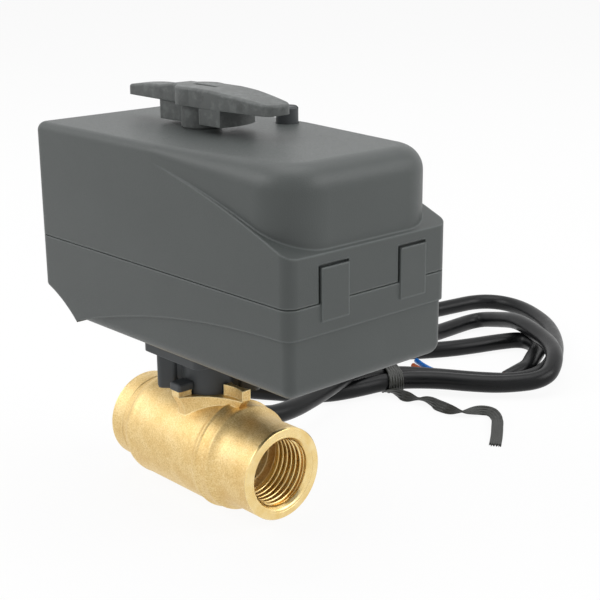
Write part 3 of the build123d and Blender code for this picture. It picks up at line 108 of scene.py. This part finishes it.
def grid_faces(rows, columns, closed=False):
    """Quads between rows of points; closed joins each row's last point to its first."""
    faces = []
    for row in range(rows - 1):
        for column in range(columns if closed else columns - 1):
            after = (column + 1) % columns
            faces.append((row * columns + column, row * columns + after,
                          (row + 1) * columns + after, (row + 1) * columns + column))
    return faces


def lathe_x(name, profile, steps=128):
    """A ring about the pipe's axis through (station, radius) points in millimetres."""
    points = []
    for station, radius in profile:
        for step in range(steps):
            angle = 2 * math.pi * step / steps
            points.append(at(station, radius * math.cos(angle), radius * math.sin(angle)))
    return piece(name, points, grid_faces(len(profile), steps, closed=True))


def smooth_line(points, steps):
    """Points along a line that passes smoothly through the given vectors."""
    ends = [points[0] * 2 - points[1], *points, points[-1] * 2 - points[-2]]
    line = []
    for a, b, c, d in zip(ends, ends[1:], ends[2:], ends[3:]):
        for step in range(steps):
            t = step / steps
            line.append((b * 2 + (c - a) * t + (a * 2 - b * 5 + c * 4 - d) * t * t
                         + (b * 3 - a - c * 3 + d) * t * t * t) * 0.5)
    return line + [points[-1].copy()]


# Cable, its cores and the tie

def spline_curve(name, points, radius, end_radius=None, resolution=12):
    """A round cord along a smooth line led by the given control points, in millimetres."""
    data = bpy.data.curves.new(name, "CURVE")
    data.dimensions = "3D"
    spline = data.splines.new("NURBS")
    spline.points.add(len(points) - 1)
    for place, point in zip(spline.points, points):
        place.co = (*at(*point), 1.0)
        place.radius = radius * MM
    spline.points[-1].radius = (end_radius or radius) * MM
    spline.order_u = 3
    spline.use_endpoint_u = True
    spline.resolution_u = resolution
    data.bevel_depth = 1.0
    data.bevel_resolution = 8
    data.use_fill_caps = True
    cord = bpy.data.objects.new(name, data)
    scene.collection.objects.link(cord)
    return cord


CABLE_R = 3.1
SHEATH_END_R = 2.15
CORE_R = 0.95
ON_FLOOR = FLOOR + CABLE_R
CROSS = -5.3
CABLE_ROUTE = (
    (-16.0, 18.2, 16.8), (-16.0, 18.2, 8.6), (-15.0, 21.8, 0.4), (-12.2, 30.5, -4.4),
    (-12.2, 42.0, CROSS), (-16.4, 57.0, CROSS - 0.3), (-21.5, 73.0, CROSS), (-30.5, 97.0, CROSS + 0.5),
    (-37.6, 117.0, CROSS), (-42.6, 131.0, CROSS - 0.3), (-45.6, 140.0, -9.6), (-47.32, 148.5, ON_FLOOR),
    (-47.5, 157.0, ON_FLOOR), (-47.91, 176.5, ON_FLOOR), (-34.0, 174.0, -8.6), (-21.5, 169.5, CROSS),
    (-4.4, 161.2, CROSS), (6.5, 154.0, CROSS), (15.0, 145.0, -6.3), (19.8, 133.5, -9.6),
    (10.5, 121.8, -10.9), (1.5, 113.9, -10.7), (-8.2, 107.6, -10.5), (-20.2, 97.4, -11.2),
    (-24.7, 81.0, -12.0), (-29.5, 71.0, ON_FLOOR), (-41.8, 61.6, ON_FLOOR), (-56.0, 52.0, ON_FLOOR),
    (-71.0, 43.0, ON_FLOOR), (-85.0, 50.5, ON_FLOOR), (-88.6, 67.0, ON_FLOOR), (-86.0, 93.0, ON_FLOOR),
    (-79.5, 122.0, ON_FLOOR), (-71.5, 152.0, ON_FLOOR), (-67.4, 178.5, ON_FLOOR), (-64.0, 199.0, ON_FLOOR),
    (-49.0, 204.0, ON_FLOOR), (-26.0, 193.5, ON_FLOOR), (-8.7, 177.2, ON_FLOOR), (4.5, 159.0, ON_FLOOR),
    (10.8, 142.6, ON_FLOOR), (9.0, 129.6, ON_FLOOR), (-1.6, 120.9, ON_FLOOR), (-13.6, 112.9, -12.0),
    (-25.9, 100.9, -11.2), (-31.4, 84.6, -12.0), (-35.4, 76.6, ON_FLOOR), (-46.0, 67.6, ON_FLOOR),
    (-58.0, 59.4, ON_FLOOR), (-69.0, 53.0, ON_FLOOR), (-78.6, 58.0, ON_FLOOR), (-80.6, 71.0, ON_FLOOR),
    (-76.0, 87.0, ON_FLOOR), (-64.0, 101.5, ON_FLOOR), (-51.0, 114.0, ON_FLOOR), (-40.0, 125.5, ON_FLOOR),
    (-31.6, 138.5, ON_FLOOR), (-27.0, 149.5, ON_FLOOR), (-23.7, 159.5, ON_FLOOR), (-18.8, 170.0, ON_FLOOR),
    (-8.0, 166.2, ON_FLOOR), (-2.6, 155.0, ON_FLOOR), (2.6, 145.6, ON_FLOOR), (3.6, 139.0, ON_FLOOR),
    (1.8, 133.2, -13.2),
)
CORE_ROUTES = {
    "core_blue": ((1.4, 135.0, -13.7), (-2.0, 131.4, -14.2), (-8.0, 127.4, -14.4), (-16.5, 122.8, -14.4),
                  (-25.5, 121.6, -14.4), (-34.4, 125.6, -14.4)),
    "core_brown": ((2.3, 134.6, -12.2), (-0.4, 130.6, -13.4), (-5.5, 125.8, -14.3), (-15.2, 119.9, -14.4),
                   (-25.8, 118.7, -14.4), (-31.6, 120.8, -14.4)),
    "core_earth": ((3.2, 134.0, -13.7), (0.8, 129.8, -14.3), (-3.8, 124.4, -14.4), (-14.6, 117.2, -14.4),
                   (-24.0, 110.6, -14.4)),
}
TIE_STRANDS = (Vector((-19.3, 96.6, -11.2)), Vector((-25.1, 100.4, -11.35)))
TIE_WIDTH = 3.9
TIE_RIBS = 4
TIE_HALF_THICKNESS = 0.16
TIE_RIB_HEIGHT = 0.2
# Middle of the tie's tail, with its lean from flat in degrees.
TIE_TAIL = (
    (-20.5, 95.0, -14.9, 0), (-15.0, 93.6, -13.5, -60), (-10.0, 93.2, -13.3, -95), (-5.7, 95.8, -13.8, -30),
    (-1.2, 96.2, -13.5, -70), (4.0, 95.0, -13.3, -112), (9.2, 95.2, -13.3, -80), (12.8, 98.2, -14.0, -12),
    (15.6, 103.0, -13.9, 30), (19.6, 104.2, -13.8, 26), (24.6, 101.0, -13.9, 8), (29.0, 95.8, -14.2, 0),
    (33.0, 90.6, -14.7, 0), (36.4, 85.8, -15.05, 0),
)


def ribbed_section(width, steps=24):
    """Across and height of a flat band's outline, with the same ribs on each face."""
    upper = []
    for step in range(steps + 1):
        share = step / steps
        rise = 0.5 - 0.5 * math.cos(2 * TIE_RIBS * math.pi * share)
        upper.append((width * (share - 0.5), TIE_HALF_THICKNESS + TIE_RIB_HEIGHT * rise ** 0.7))
    return upper + [(across, -height) for across, height in reversed(upper)]


def band(stations, width, closed=False):
    """Points and faces of a ribbed band; each station is a middle, a face's normal and its side."""
    section = ribbed_section(width)
    points = []
    for middle, normal, side in stations:
        points += [(middle + side * across + normal * height) for across, height in section]
    if closed:
        points += points[:len(section)]
    faces = grid_faces(len(points) // len(section), len(section), closed=True)
    if not closed:
        last = len(points) - len(section)
        faces.append(tuple(range(len(section))))
        faces.append(tuple(range(last, len(points))))
    return points, faces


def tie_loop(radius, width, along_shift, steps=24):
    """The band round both strands, whose middle line keeps 'radius' from their axes."""
    first, second = TIE_STRANDS
    across = (first - second).normalized()
    along = UP.cross(across).normalized()
    rise = across.cross(along)
    stations = []
    for middle, start in ((first, -90), (second, 90)):
        for step in range(steps + 1):
            angle = math.radians(start + 180 * step / steps)
            normal = across * math.cos(angle) + rise * math.sin(angle)
            stations.append((middle + along * along_shift + normal * radius, normal, along))
    return band(stations, width, closed=True)


def tie_tail(steps=10):
    """The loose end, leaning and twisting over the floor to its frayed tip."""
    line = smooth_line([Vector(p[:3]) for p in TIE_TAIL], steps)
    leans = smooth_line([Vector((p[3], 0.0, 0.0)) for p in TIE_TAIL], steps)
    facing = Vector((back.x, back.y, 0.0)).normalized()
    stations = []
    for number, (here, lean) in enumerate(zip(line, leans)):
        run = (line[min(number + 1, len(line) - 1)] - line[max(number - 1, 0)]).normalized()
        level = run.cross(UP).normalized()
        if level.dot(facing) < 0:
            level = -level
        turned = math.radians(abs(lean.x))
        normal = (run.cross(level) * (1 if run.cross(level).z > 0 else -1)) * math.cos(turned)
        normal += level * math.sin(turned) * (1 if lean.x >= 0 else -1)
        stations.append((here, normal.normalized(), run.cross(normal).normalized()))
    points, faces = band(stations, TIE_WIDTH)
    size = len(ribbed_section(TIE_WIDTH))
    run = (line[-1] - line[-2]).normalized()
    for number in range(size):
        fray = math.sin(number * 2.9) * 0.5 + math.sin(number * 1.3 + 1.0) * 0.7
        points[-size + number] = points[-size + number] + run * fray
    return points, faces


def make_tie():
    """Two turns round the strands, the second narrower and closer, and the tail."""
    points, faces = [], []
    for more_points, more_faces in (
        tie_loop(CABLE_R + 0.75, TIE_WIDTH, 0.0),
        tie_loop(CABLE_R + 0.42, TIE_WIDTH - 0.8, 1.9),
        tie_tail(),
    ):
        faces += [tuple(i + len(points) for i in face) for face in more_faces]
        points += more_points
    return piece("tie", [at(*p) for p in points], faces)


cable = spline_curve("cable", CABLE_ROUTE, CABLE_R, SHEATH_END_R)
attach(cable, "root")
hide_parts("power_cable", "cable_hank")
cores = []
for name, route in CORE_ROUTES.items():
    core = spline_curve(name, route, CORE_R)
    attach(core, "root")
    cores.append(core)
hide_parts("cable_cores")
tie = make_tie()
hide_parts("twist_tie")


# Threads, turned faces and the soft steps of the forging

PORT_X = 31.6
PITCH = 1.814
MAJOR_R = 10.46
MINOR_R = 9.32


def port_thread(name, mouth, inward, steps=96, turns=6.6, columns=14):
    """A female pipe thread as one helical strip, from the mouth to its run-out."""
    first_turn, root_share, flank_share = 1.0, 0.07, 0.29
    points = []
    rows = int(turns * steps) + 1
    for row in range(rows):
        angle = 2 * math.pi * row / steps
        start = min(1.0, row / (steps * 0.25))
        end = min(1.0, (rows - 1 - row) / (steps * 0.5))
        height = (MAJOR_R - MINOR_R) * min(start, end)
        for column in range(columns + 1):
            share = column / columns
            flank = min(1.0, max(0.0, (0.5 - abs(share - 0.5) - root_share) / flank_share))
            flank = flank * flank * (3 - 2 * flank)
            radius = MAJOR_R - height * flank
            station = mouth + inward * (first_turn + PITCH * (row / steps + share))
            points.append(at(station, radius * math.cos(angle), -inward * radius * math.sin(angle)))
    return piece(name, points, grid_faces(rows, columns + 1))


def turned_mouth(name, mouth, inward):
    """The faced-off end of a port: fine rings, and a countersink into the thread."""
    rings, ring_pitch = 14, 0.11
    profile = [(-0.62, 13.28), (-0.56, 13.335), (-0.3, 13.33), (0.1, 13.0), (0.19, 12.86)]
    for ring in range(rings):
        profile.append((0.21 if ring % 2 else 0.19, 12.74 - ring * ring_pitch))
    profile += [(0.19, 11.2), (0.1, 11.12), (0.1, 11.04), (0.17, 10.98), (0.03, 10.52), (-0.3, 10.2),
                (-0.9, 9.75), (-1.35, 9.46), (-1.5, 9.5), (-1.55, 9.7), (-1.3, 10.44)]
    return lathe_x(name, [(mouth - inward * out, radius) for out, radius in profile])


port_thread("outlet_thread", PORT_X, -1)
port_thread("inlet_thread", -PORT_X, 1)
turned_mouth("outlet_mouth", PORT_X, -1)
turned_mouth("inlet_mouth", -PORT_X, 1)
lathe_x("body_steps", (
    (9.8, 15.36), (10.5, 15.44), (11.0, 15.56), (11.35, 15.78), (11.65, 15.88), (11.95, 15.8), (12.25, 15.5),
    (12.6, 15.28), (13.1, 15.16), (13.9, 15.08), (14.9, 15.04), (15.6, 15.1), (16.1, 15.22), (16.45, 15.16),
    (16.8, 14.86), (17.2, 14.5), (17.7, 14.16), (18.4, 13.84), (19.2, 13.58), (20.0, 13.4), (20.8, 13.27),
))
lathe_x("body_collar", (
    (-26.35, 13.22), (-26.15, 13.34), (-25.9, 13.2), (-25.6, 13.16), (-25.3, 13.26), (-24.6, 13.34),
    (-23.8, 13.36), (-23.3, 13.46), (-22.9, 13.72), (-22.5, 14.16), (-22.1, 14.66), (-21.7, 15.04),
    (-21.2, 15.32), (-20.5, 15.5), (-19.7, 15.56), (-18.9, 15.5), (-18.1, 15.36),
))


# Feet of the adapter on the body's pad

CORNER_STEPS = 6


def rounded_prism(name, angle, reach, half_width, corner, levels):
    """An upright block with round corners; reach is its nearest and furthest distance from the stem."""
    half = (reach[1] - reach[0]) / 2
    middle = (reach[1] + reach[0]) / 2
    turn = math.radians(angle)
    points = []
    for z, inset in levels:
        for quarter, (sx, sy) in enumerate(((1, 1), (-1, 1), (-1, -1), (1, -1))):
            for step in range(CORNER_STEPS + 1):
                bend = math.radians(90 * quarter + 90 * step / CORNER_STEPS)
                out = middle + sx * (half - corner) + (corner - inset) * math.cos(bend)
                side = sy * (half_width - corner) + (corner - inset) * math.sin(bend)
                points.append(at(out * math.cos(turn) - side * math.sin(turn),
                                 out * math.sin(turn) + side * math.cos(turn), z))
    ring = 4 * (CORNER_STEPS + 1)
    faces = grid_faces(len(levels), ring, closed=True)
    faces += [tuple(range(ring)), tuple(range(len(points) - ring, len(points)))]
    return piece(name, points, faces, smooth=False)


ADAPTER_FOOT = 17.3
ADAPTER_UNDERSIDE = 28.45
feet = []
for side, angle in (("left", 222.0), ("right", 42.0)):
    feet.append(rounded_prism("post_" + side, angle, (8.7, 14.85), 2.75, 1.5, (
        (ADAPTER_FOOT, 0.5), (ADAPTER_FOOT + 0.15, 0.2), (ADAPTER_FOOT + 0.45, 0.0),
        (ADAPTER_UNDERSIDE, 0.0))))
    feet.append(rounded_prism("web_" + side, angle, (6.9, 9.2), 1.7, 0.3, (
        (ADAPTER_FOOT, 0.0), (ADAPTER_UNDERSIDE, 0.0))))
for side, angle in (("near", 270.0), ("far", 90.0)):
    feet.append(rounded_prism("apron_" + side, angle, (7.2, 12.7), 2.4, 0.9, (
        (18.9, 0.25), (19.1, 0.0), (20.6, 0.0), (21.0, 0.2), (21.25, 0.6))))


# Spring under the button

SPRING_PLACE = (11.3, 21.0)
SPRING_FOOT = 82.0
SPRING_LENGTH = 6.0
WIRE_R = 0.25
COIL_R = 1.75


def return_spring(turns=5, steps=24, sides=8):
    """A wound spring of fixed length under the button."""
    x, y = SPRING_PLACE
    points = []
    for row in range(turns * steps + 1):
        angle = 2 * math.pi * row / steps
        z = SPRING_FOOT + WIRE_R + (SPRING_LENGTH - 2 * WIRE_R) * row / (turns * steps)
        for side in range(sides):
            bend = 2 * math.pi * side / sides
            reach = COIL_R + WIRE_R * math.cos(bend)
            points.append(at(x + reach * math.cos(angle), y + reach * math.sin(angle),
                             z + WIRE_R * math.sin(bend)))
    faces = grid_faces(turns * steps + 1, sides, closed=True)
    faces += [tuple(range(sides)), tuple(range(len(points) - sides, len(points)))]
    coil = piece("return_spring", points, faces)
    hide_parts("button_spring")
    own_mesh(coil)
    return coil


spring = return_spring()


# Materials

class Nodes:
    """A material's node tree with short ways to add and join nodes."""

    def __init__(self, name):
        self.material = bpy.data.materials.new(name)
        self.material.use_nodes = True
        self.tree = self.material.node_tree
        self.shader = self.tree.nodes["Principled BSDF"]
        self.output = self.tree.nodes["Material Output"]
        self.place = self.add("ShaderNodeTexCoord").outputs["Object"]

    def add(self, kind, **values):
        node = self.tree.nodes.new(kind)
        for key, value in values.items():
            if key in node.inputs:
                node.inputs[key].default_value = value
            else:
                setattr(node, key, value)
        return node

    def join(self, start, end):
        self.tree.links.new(start, end)

    def noise(self, scale, detail=2.0, roughness=0.5, stretch=None):
        node = self.add("ShaderNodeTexNoise", Scale=scale, Detail=detail, Roughness=roughness)
        place = self.place
        if stretch:
            mapping = self.add("ShaderNodeMapping", Scale=stretch)
            self.join(place, mapping.inputs["Vector"])
            place = mapping.outputs["Vector"]
        self.join(place, node.inputs["Vector"])
        return node.outputs["Fac"]

    def ramp(self, source, *stops):
        node = self.add("ShaderNodeValToRGB")
        points = node.color_ramp.elements
        while len(points) < len(stops):
            points.new(0.5)
        for point, (where, colour) in zip(points, stops):
            point.position = where
            point.color = (*colour, 1.0)
        self.join(source, node.inputs["Fac"])
        return node.outputs["Color"]

    def span(self, source, low, high, from_low=0.3, from_high=0.7):
        node = self.add("ShaderNodeMapRange")
        for socket, value in (("From Min", from_low), ("From Max", from_high),
                              ("To Min", low), ("To Max", high)):
            node.inputs[socket].default_value = value
        self.join(source, node.inputs["Value"])
        return node.outputs["Result"]

    def bump(self, height, distance, strength=1.0, under=None):
        node = self.add("ShaderNodeBump", Strength=strength, Distance=distance)
        self.join(height, node.inputs["Height"])
        if under is not None:
            self.join(under, node.inputs["Normal"])
        return node.outputs["Normal"]

    def rounded_edges_and_highlight_mask(self, radius):
        """Normals that round the edges over, and a mask that is 1 along them, which paints a highlight along
        the edges.
        """
        bevel = self.add("ShaderNodeBevel", samples=6, Radius=radius)
        geometry = self.add("ShaderNodeNewGeometry")
        dot = self.add("ShaderNodeVectorMath", operation="DOT_PRODUCT")
        self.join(bevel.outputs["Normal"], dot.inputs[0])
        self.join(geometry.outputs["Normal"], dot.inputs[1])
        return bevel.outputs["Normal"], self.span(dot.outputs["Value"], 1.0, 0.0, 0.95, 0.998)

    def mix(self, mask, low, high):
        """Colour from low to high along the mask; the numbers are the node's colour sockets."""
        node = self.add("ShaderNodeMix", data_type="RGBA")
        for source, socket in ((mask, node.inputs[0]), (low, node.inputs[6]), (high, node.inputs[7])):
            if hasattr(source, "is_output"):
                self.join(source, socket)
            else:
                socket.default_value = (*source, 1.0)
        return node.outputs[2]

    def finish(self, colour=None, rough=None, normal=None, **values):
        for key, value in values.items():
            self.shader.inputs[key].default_value = value
        for source, socket in ((colour, "Base Color"), (rough, "Roughness"), (normal, "Normal")):
            if source is None:
                continue
            if hasattr(source, "is_output"):
                self.join(source, self.shader.inputs[socket])
            else:
                self.shader.inputs[socket].default_value = source
        return self.material


def srgb(r, g, b):
    """Linear colour from an sRGB colour of 0 to 255."""
    return tuple(c / 255 / 12.92 if c / 255 <= 0.04045 else ((c / 255 + 0.055) / 1.055) ** 2.4
                 for c in (r, g, b))


def shade(colour, factor):
    return tuple(min(1.0, c * factor) for c in colour)


def plastic(name, colour, rough=0.5, grain=0.25, depth=0.03, patchy=0.06, edge=0.0, worn=0.0):
    """Moulded plastic: grain and depth are its texture's size and height, edge the radius of its rounded
    edges and of the painted highlight along them.

    worn is how strongly light scuffs and dark stains show.
    """
    n = Nodes(name)
    tint = n.ramp(n.noise(60.0, 3.0), (0.3, shade(colour, 1 - patchy)), (0.7, shade(colour, 1 + patchy)))
    if worn:
        tint = n.mix(n.span(n.noise(420.0, 4.0, 0.65), 0.0, worn, 0.48, 0.66), tint, shade(colour, 1.9))
        tint = n.mix(n.span(n.noise(300.0, 3.0, 0.6), worn, 0.0, 0.34, 0.48), tint, shade(colour, 0.5))
    fine = n.noise(1000.0 / grain, 2.0, 0.6)
    roughness = n.span(fine, rough - 0.06, rough + 0.06)
    normal = None
    values = {}
    if edge:
        normal, mask = n.rounded_edges_and_highlight_mask(edge * MM)
        # Painted highlight: the colour is lifted along the rounded edges.
        tint = n.mix(mask, tint, shade(colour, 1.75))
        values["Specular IOR Level"] = 0.42
    return n.finish(tint, roughness, n.bump(fine, depth * MM, 0.5, normal), **values)


def metal(name, colour, rough=0.3, grain=0.3, depth=0.01, stretch=None, patchy=0.08):
    """Metal with a fine finish; stretch draws the grain out into lines."""
    n = Nodes(name)
    patches = n.noise(90.0, 4.0)
    tint = n.ramp(patches, (0.3, shade(colour, 1 - patchy)), (0.7, shade(colour, 1 + patchy)))
    fine = n.noise(1000.0 / grain, 2.0, 0.5, stretch)
    roughness = n.span(fine, rough - 0.08, rough + 0.08)
    return n.finish(tint, roughness, n.bump(fine, depth * MM, 0.5), Metallic=1.0)


def forged_brass():
    """Shot-blasted forging: dark pits and bright crests of its grain over soft cloudy patches, with a painted
    highlight along its rounded edges.
    """
    n = Nodes("forged_brass")
    clouds = n.noise(140.0, 4.0, 0.6)
    tint = n.ramp(clouds, (0.3, srgb(226, 194, 130)), (0.5, srgb(234, 206, 146)), (0.72, srgb(242, 218, 164)))
    coarse = n.noise(2300.0, 3.0, 0.65)
    fine = n.noise(5200.0, 2.0, 0.6)
    pits = n.span(coarse, 0.55, 0.0, 0.34, 0.52)
    tint = n.mix(pits, tint, srgb(196, 158, 96))
    crests = n.span(coarse, 0.0, 0.55, 0.54, 0.7)
    tint = n.mix(crests, tint, srgb(252, 236, 196))
    normal, mask = n.rounded_edges_and_highlight_mask(0.5 * MM)
    normal = n.bump(n.noise(260.0, 3.0, 0.6), 0.14 * MM, 0.5, normal)
    normal = n.bump(coarse, 0.09 * MM, 1.0, normal)
    normal = n.bump(fine, 0.04 * MM, 0.7, normal)
    # Painted highlight: a pale brass along the rounded edges.
    tint = n.mix(mask, tint, srgb(248, 230, 180))
    return n.finish(tint, n.span(coarse, 0.46, 0.6), normal, Metallic=1.0)


def turned_brass():
    """Machined brass: fine rings about the pipe's axis."""
    n = Nodes("turned_brass")
    tint = n.ramp(n.noise(300.0, 3.0), (0.3, srgb(236, 204, 134)), (0.7, srgb(248, 224, 166)))
    rings = n.noise(2600.0, 2.0, 0.6, (1.0, 0.06, 0.06))
    return n.finish(tint, n.span(rings, 0.2, 0.36), n.bump(rings, 0.012 * MM, 0.5), Metallic=1.0)


def cable_jacket():
    """Extruded sheath: smooth and black with faint dull patches and scuffs."""
    n = Nodes("cable_jacket")
    tint = n.ramp(n.noise(80.0, 4.0), (0.3, srgb(8, 9, 10)), (0.7, srgb(15, 16, 18)))
    dull = n.noise(220.0, 4.0, 0.7)
    normal = n.bump(n.noise(420.0, 3.0, 0.5), 0.05 * MM, 0.35)
    normal = n.bump(n.noise(3000.0, 2.0, 0.6), 0.012 * MM, 0.5, normal)
    return n.finish(tint, n.span(dull, 0.26, 0.4), normal, **{"Specular IOR Level": 0.22})


HOUSING = srgb(71, 75, 74)
materials = {
    "forged_brass": forged_brass(),
    "turned_brass": turned_brass(),
    "plated_ball": metal("plated_ball", srgb(226, 228, 230), 0.12, 0.3, 0.002),
    "seat_ptfe": plastic("seat_ptfe", srgb(238, 237, 230), 0.45, 0.3, 0.01, 0.02),
    "seal_rubber": plastic("seal_rubber", srgb(34, 34, 35), 0.6, 0.3, 0.02),
    "black_plastic": plastic("black_plastic", srgb(60, 63, 65), 0.5, 0.22, 0.03, edge=0.35),
    "housing_plastic": plastic("housing_plastic", HOUSING, 0.44, 0.34, 0.1, 0.04, edge=0.8),
    "lever_plastic": plastic("lever_plastic", srgb(85, 88, 87), 0.46, 0.28, 0.06, edge=0.45, worn=0.5),
    "gear_plastic": plastic("gear_plastic", srgb(216, 211, 196), 0.4, 0.3, 0.01, 0.03),
    "cam_plastic": plastic("cam_plastic", srgb(231, 227, 214), 0.35, 0.3, 0.01, 0.03),
    "switch_plastic": plastic("switch_plastic", srgb(38, 40, 43), 0.35, 0.3, 0.01),
    "board_laminate": plastic("board_laminate", srgb(31, 107, 60), 0.3, 0.4, 0.01),
    "plate_steel": metal("plate_steel", srgb(190, 193, 195), 0.35, 0.25, 0.01, (12.0, 1.0, 1.0)),
    "screw_steel": metal("screw_steel", srgb(196, 197, 196), 0.3, 0.2, 0.01),
    "spring_steel": metal("spring_steel", srgb(148, 152, 156), 0.3, 0.2, 0.01),
    "cable_rubber": plastic("cable_rubber", srgb(26, 27, 29), 0.45, 0.3, 0.02),
    "cable_jacket": cable_jacket(),
    "core_insulation": plastic("core_insulation", srgb(28, 111, 194), 0.35, 0.5, 0.01),
    "tie_plastic": plastic("tie_plastic", srgb(29, 31, 26), 0.42, 0.5, 0.02, 0.12),
}
core_colours = {"core_blue": srgb(16, 104, 190), "core_brown": srgb(178, 84, 34),
                "core_earth": srgb(120, 160, 50)}
slots = {part["node"]: part["material_slot"] for part in frame["record"]["subparts"]}
for node, thing in nodes.items():
    thing.data.materials.clear()
    thing.data.materials.append(materials[slots[node]])
# Painted shade: the output shaft is dark grey in place of its cream gear plastic, to stand for the shadowed
# gap between the lever's hub and the cover.
nodes["output_shaft"].data.materials[0] = plastic("shaft_painted_shade", srgb(66, 69, 68), 0.5, 0.3, 0.01)
for core in cores:
    core.data.materials.append(plastic(core.name, core_colours[core.name], 0.35, 0.5, 0.01))
cable.data.materials.append(materials["cable_jacket"])
tie.data.materials.append(materials["tie_plastic"])
spring.data.materials.append(materials["spring_steel"])
for name in ("outlet_thread", "inlet_thread", "outlet_mouth", "inlet_mouth"):
    bpy.data.objects[name].data.materials.append(materials["turned_brass"])
for name in ("body_steps", "body_collar"):
    bpy.data.objects[name].data.materials.append(materials["forged_brass"])
for foot in feet:
    foot.data.materials.append(materials["black_plastic"])


# Floor, backdrop and lights

def join_seen(tree):
    """1 for rays from the camera or off glossy and clear surfaces, which see plain white."""
    path = tree.nodes.new("ShaderNodeLightPath")
    first = tree.nodes.new("ShaderNodeMath")
    second = tree.nodes.new("ShaderNodeMath")
    first.operation = second.operation = "MAXIMUM"
    tree.links.new(path.outputs["Is Camera Ray"], first.inputs[0])
    tree.links.new(path.outputs["Is Glossy Ray"], first.inputs[1])
    tree.links.new(first.outputs[0], second.inputs[0])
    tree.links.new(path.outputs["Is Transmission Ray"], second.inputs[1])
    return second.outputs[0]


def stage_floor():
    """A pale floor just under the part that catches soft shadows; half its side is in metres."""
    half, below, white_share = 4.0, 0.02, 0.92
    mesh = bpy.data.meshes.new("floor")
    z = (FLOOR - below) * MM
    mesh.from_pydata([(-half, -half, z), (half, -half, z), (half, half, z), (-half, half, z)], [],
                     [(0, 1, 2, 3)])
    floor = bpy.data.objects.new("floor", mesh)
    scene.collection.objects.link(floor)
    n = Nodes("floor")
    n.tree.nodes.remove(n.shader)
    diffuse = n.add("ShaderNodeBsdfDiffuse", Color=(0.92, 0.92, 0.92, 1.0))
    glow = n.add("ShaderNodeEmission", Color=(1.0, 1.0, 1.0, 1.0), Strength=1.0)
    share = n.add("ShaderNodeMath", operation="MULTIPLY")
    share.inputs[1].default_value = white_share
    n.join(join_seen(n.tree), share.inputs[0])
    mix = n.add("ShaderNodeMixShader")
    n.join(share.outputs[0], mix.inputs[0])
    n.join(diffuse.outputs[0], mix.inputs[1])
    n.join(glow.outputs[0], mix.inputs[2])
    n.join(mix.outputs[0], n.output.inputs["Surface"])
    mesh.materials.append(n.material)


def world_light(horizon, zenith):
    """A soft light tent, dimmer overhead than at its sides."""
    world = bpy.data.worlds.new("studio")
    scene.world = world
    world.use_nodes = True
    tree = world.node_tree
    tree.nodes.clear()
    soft = tree.nodes.new("ShaderNodeBackground")
    soft.inputs["Color"].default_value = (1.0, 1.0, 1.0, 1.0)
    place = tree.nodes.new("ShaderNodeTexCoord")
    split = tree.nodes.new("ShaderNodeSeparateXYZ")
    fall = tree.nodes.new("ShaderNodeMapRange")
    fall.inputs["To Min"].default_value = horizon
    fall.inputs["To Max"].default_value = zenith
    tree.links.new(place.outputs["Generated"], split.inputs["Vector"])
    tree.links.new(split.outputs["Z"], fall.inputs["Value"])
    tree.links.new(fall.outputs["Result"], soft.inputs["Strength"])
    white = tree.nodes.new("ShaderNodeBackground")
    white.inputs["Color"].default_value = (1.0, 1.0, 1.0, 1.0)
    mix = tree.nodes.new("ShaderNodeMixShader")
    tree.links.new(join_seen(tree), mix.inputs[0])
    tree.links.new(soft.outputs[0], mix.inputs[1])
    tree.links.new(white.outputs[0], mix.inputs[2])
    output = tree.nodes.new("ShaderNodeOutputWorld")
    tree.links.new(mix.outputs[0], output.inputs["Surface"])


def softbox(name, place, size, power):
    """A rectangular lamp turned to the part; its place and size are in metres."""
    light = bpy.data.lights.new(name, "AREA")
    light.shape = "RECTANGLE"
    light.size, light.size_y = size
    light.energy = power
    lamp = bpy.data.objects.new(name, light)
    scene.collection.objects.link(lamp)
    lamp.location = place
    lamp.rotation_mode = "QUATERNION"
    lamp.rotation_quaternion = (LIT_POINT - Vector(place)).to_track_quat("-Z", "Y")


LIT_POINT = Vector((-0.03, 0.0, 0.03))
stage_floor()
world_light(0.6, 0.28)
softbox("left", (-0.6, -0.85, 0.85), (0.9, 0.7), 6.5)
softbox("top", (-0.1, 0.15, 1.1), (0.9, 0.9), 5.5)
softbox("right", (0.9, 0.6, 0.75), (0.8, 0.7), 6.0)
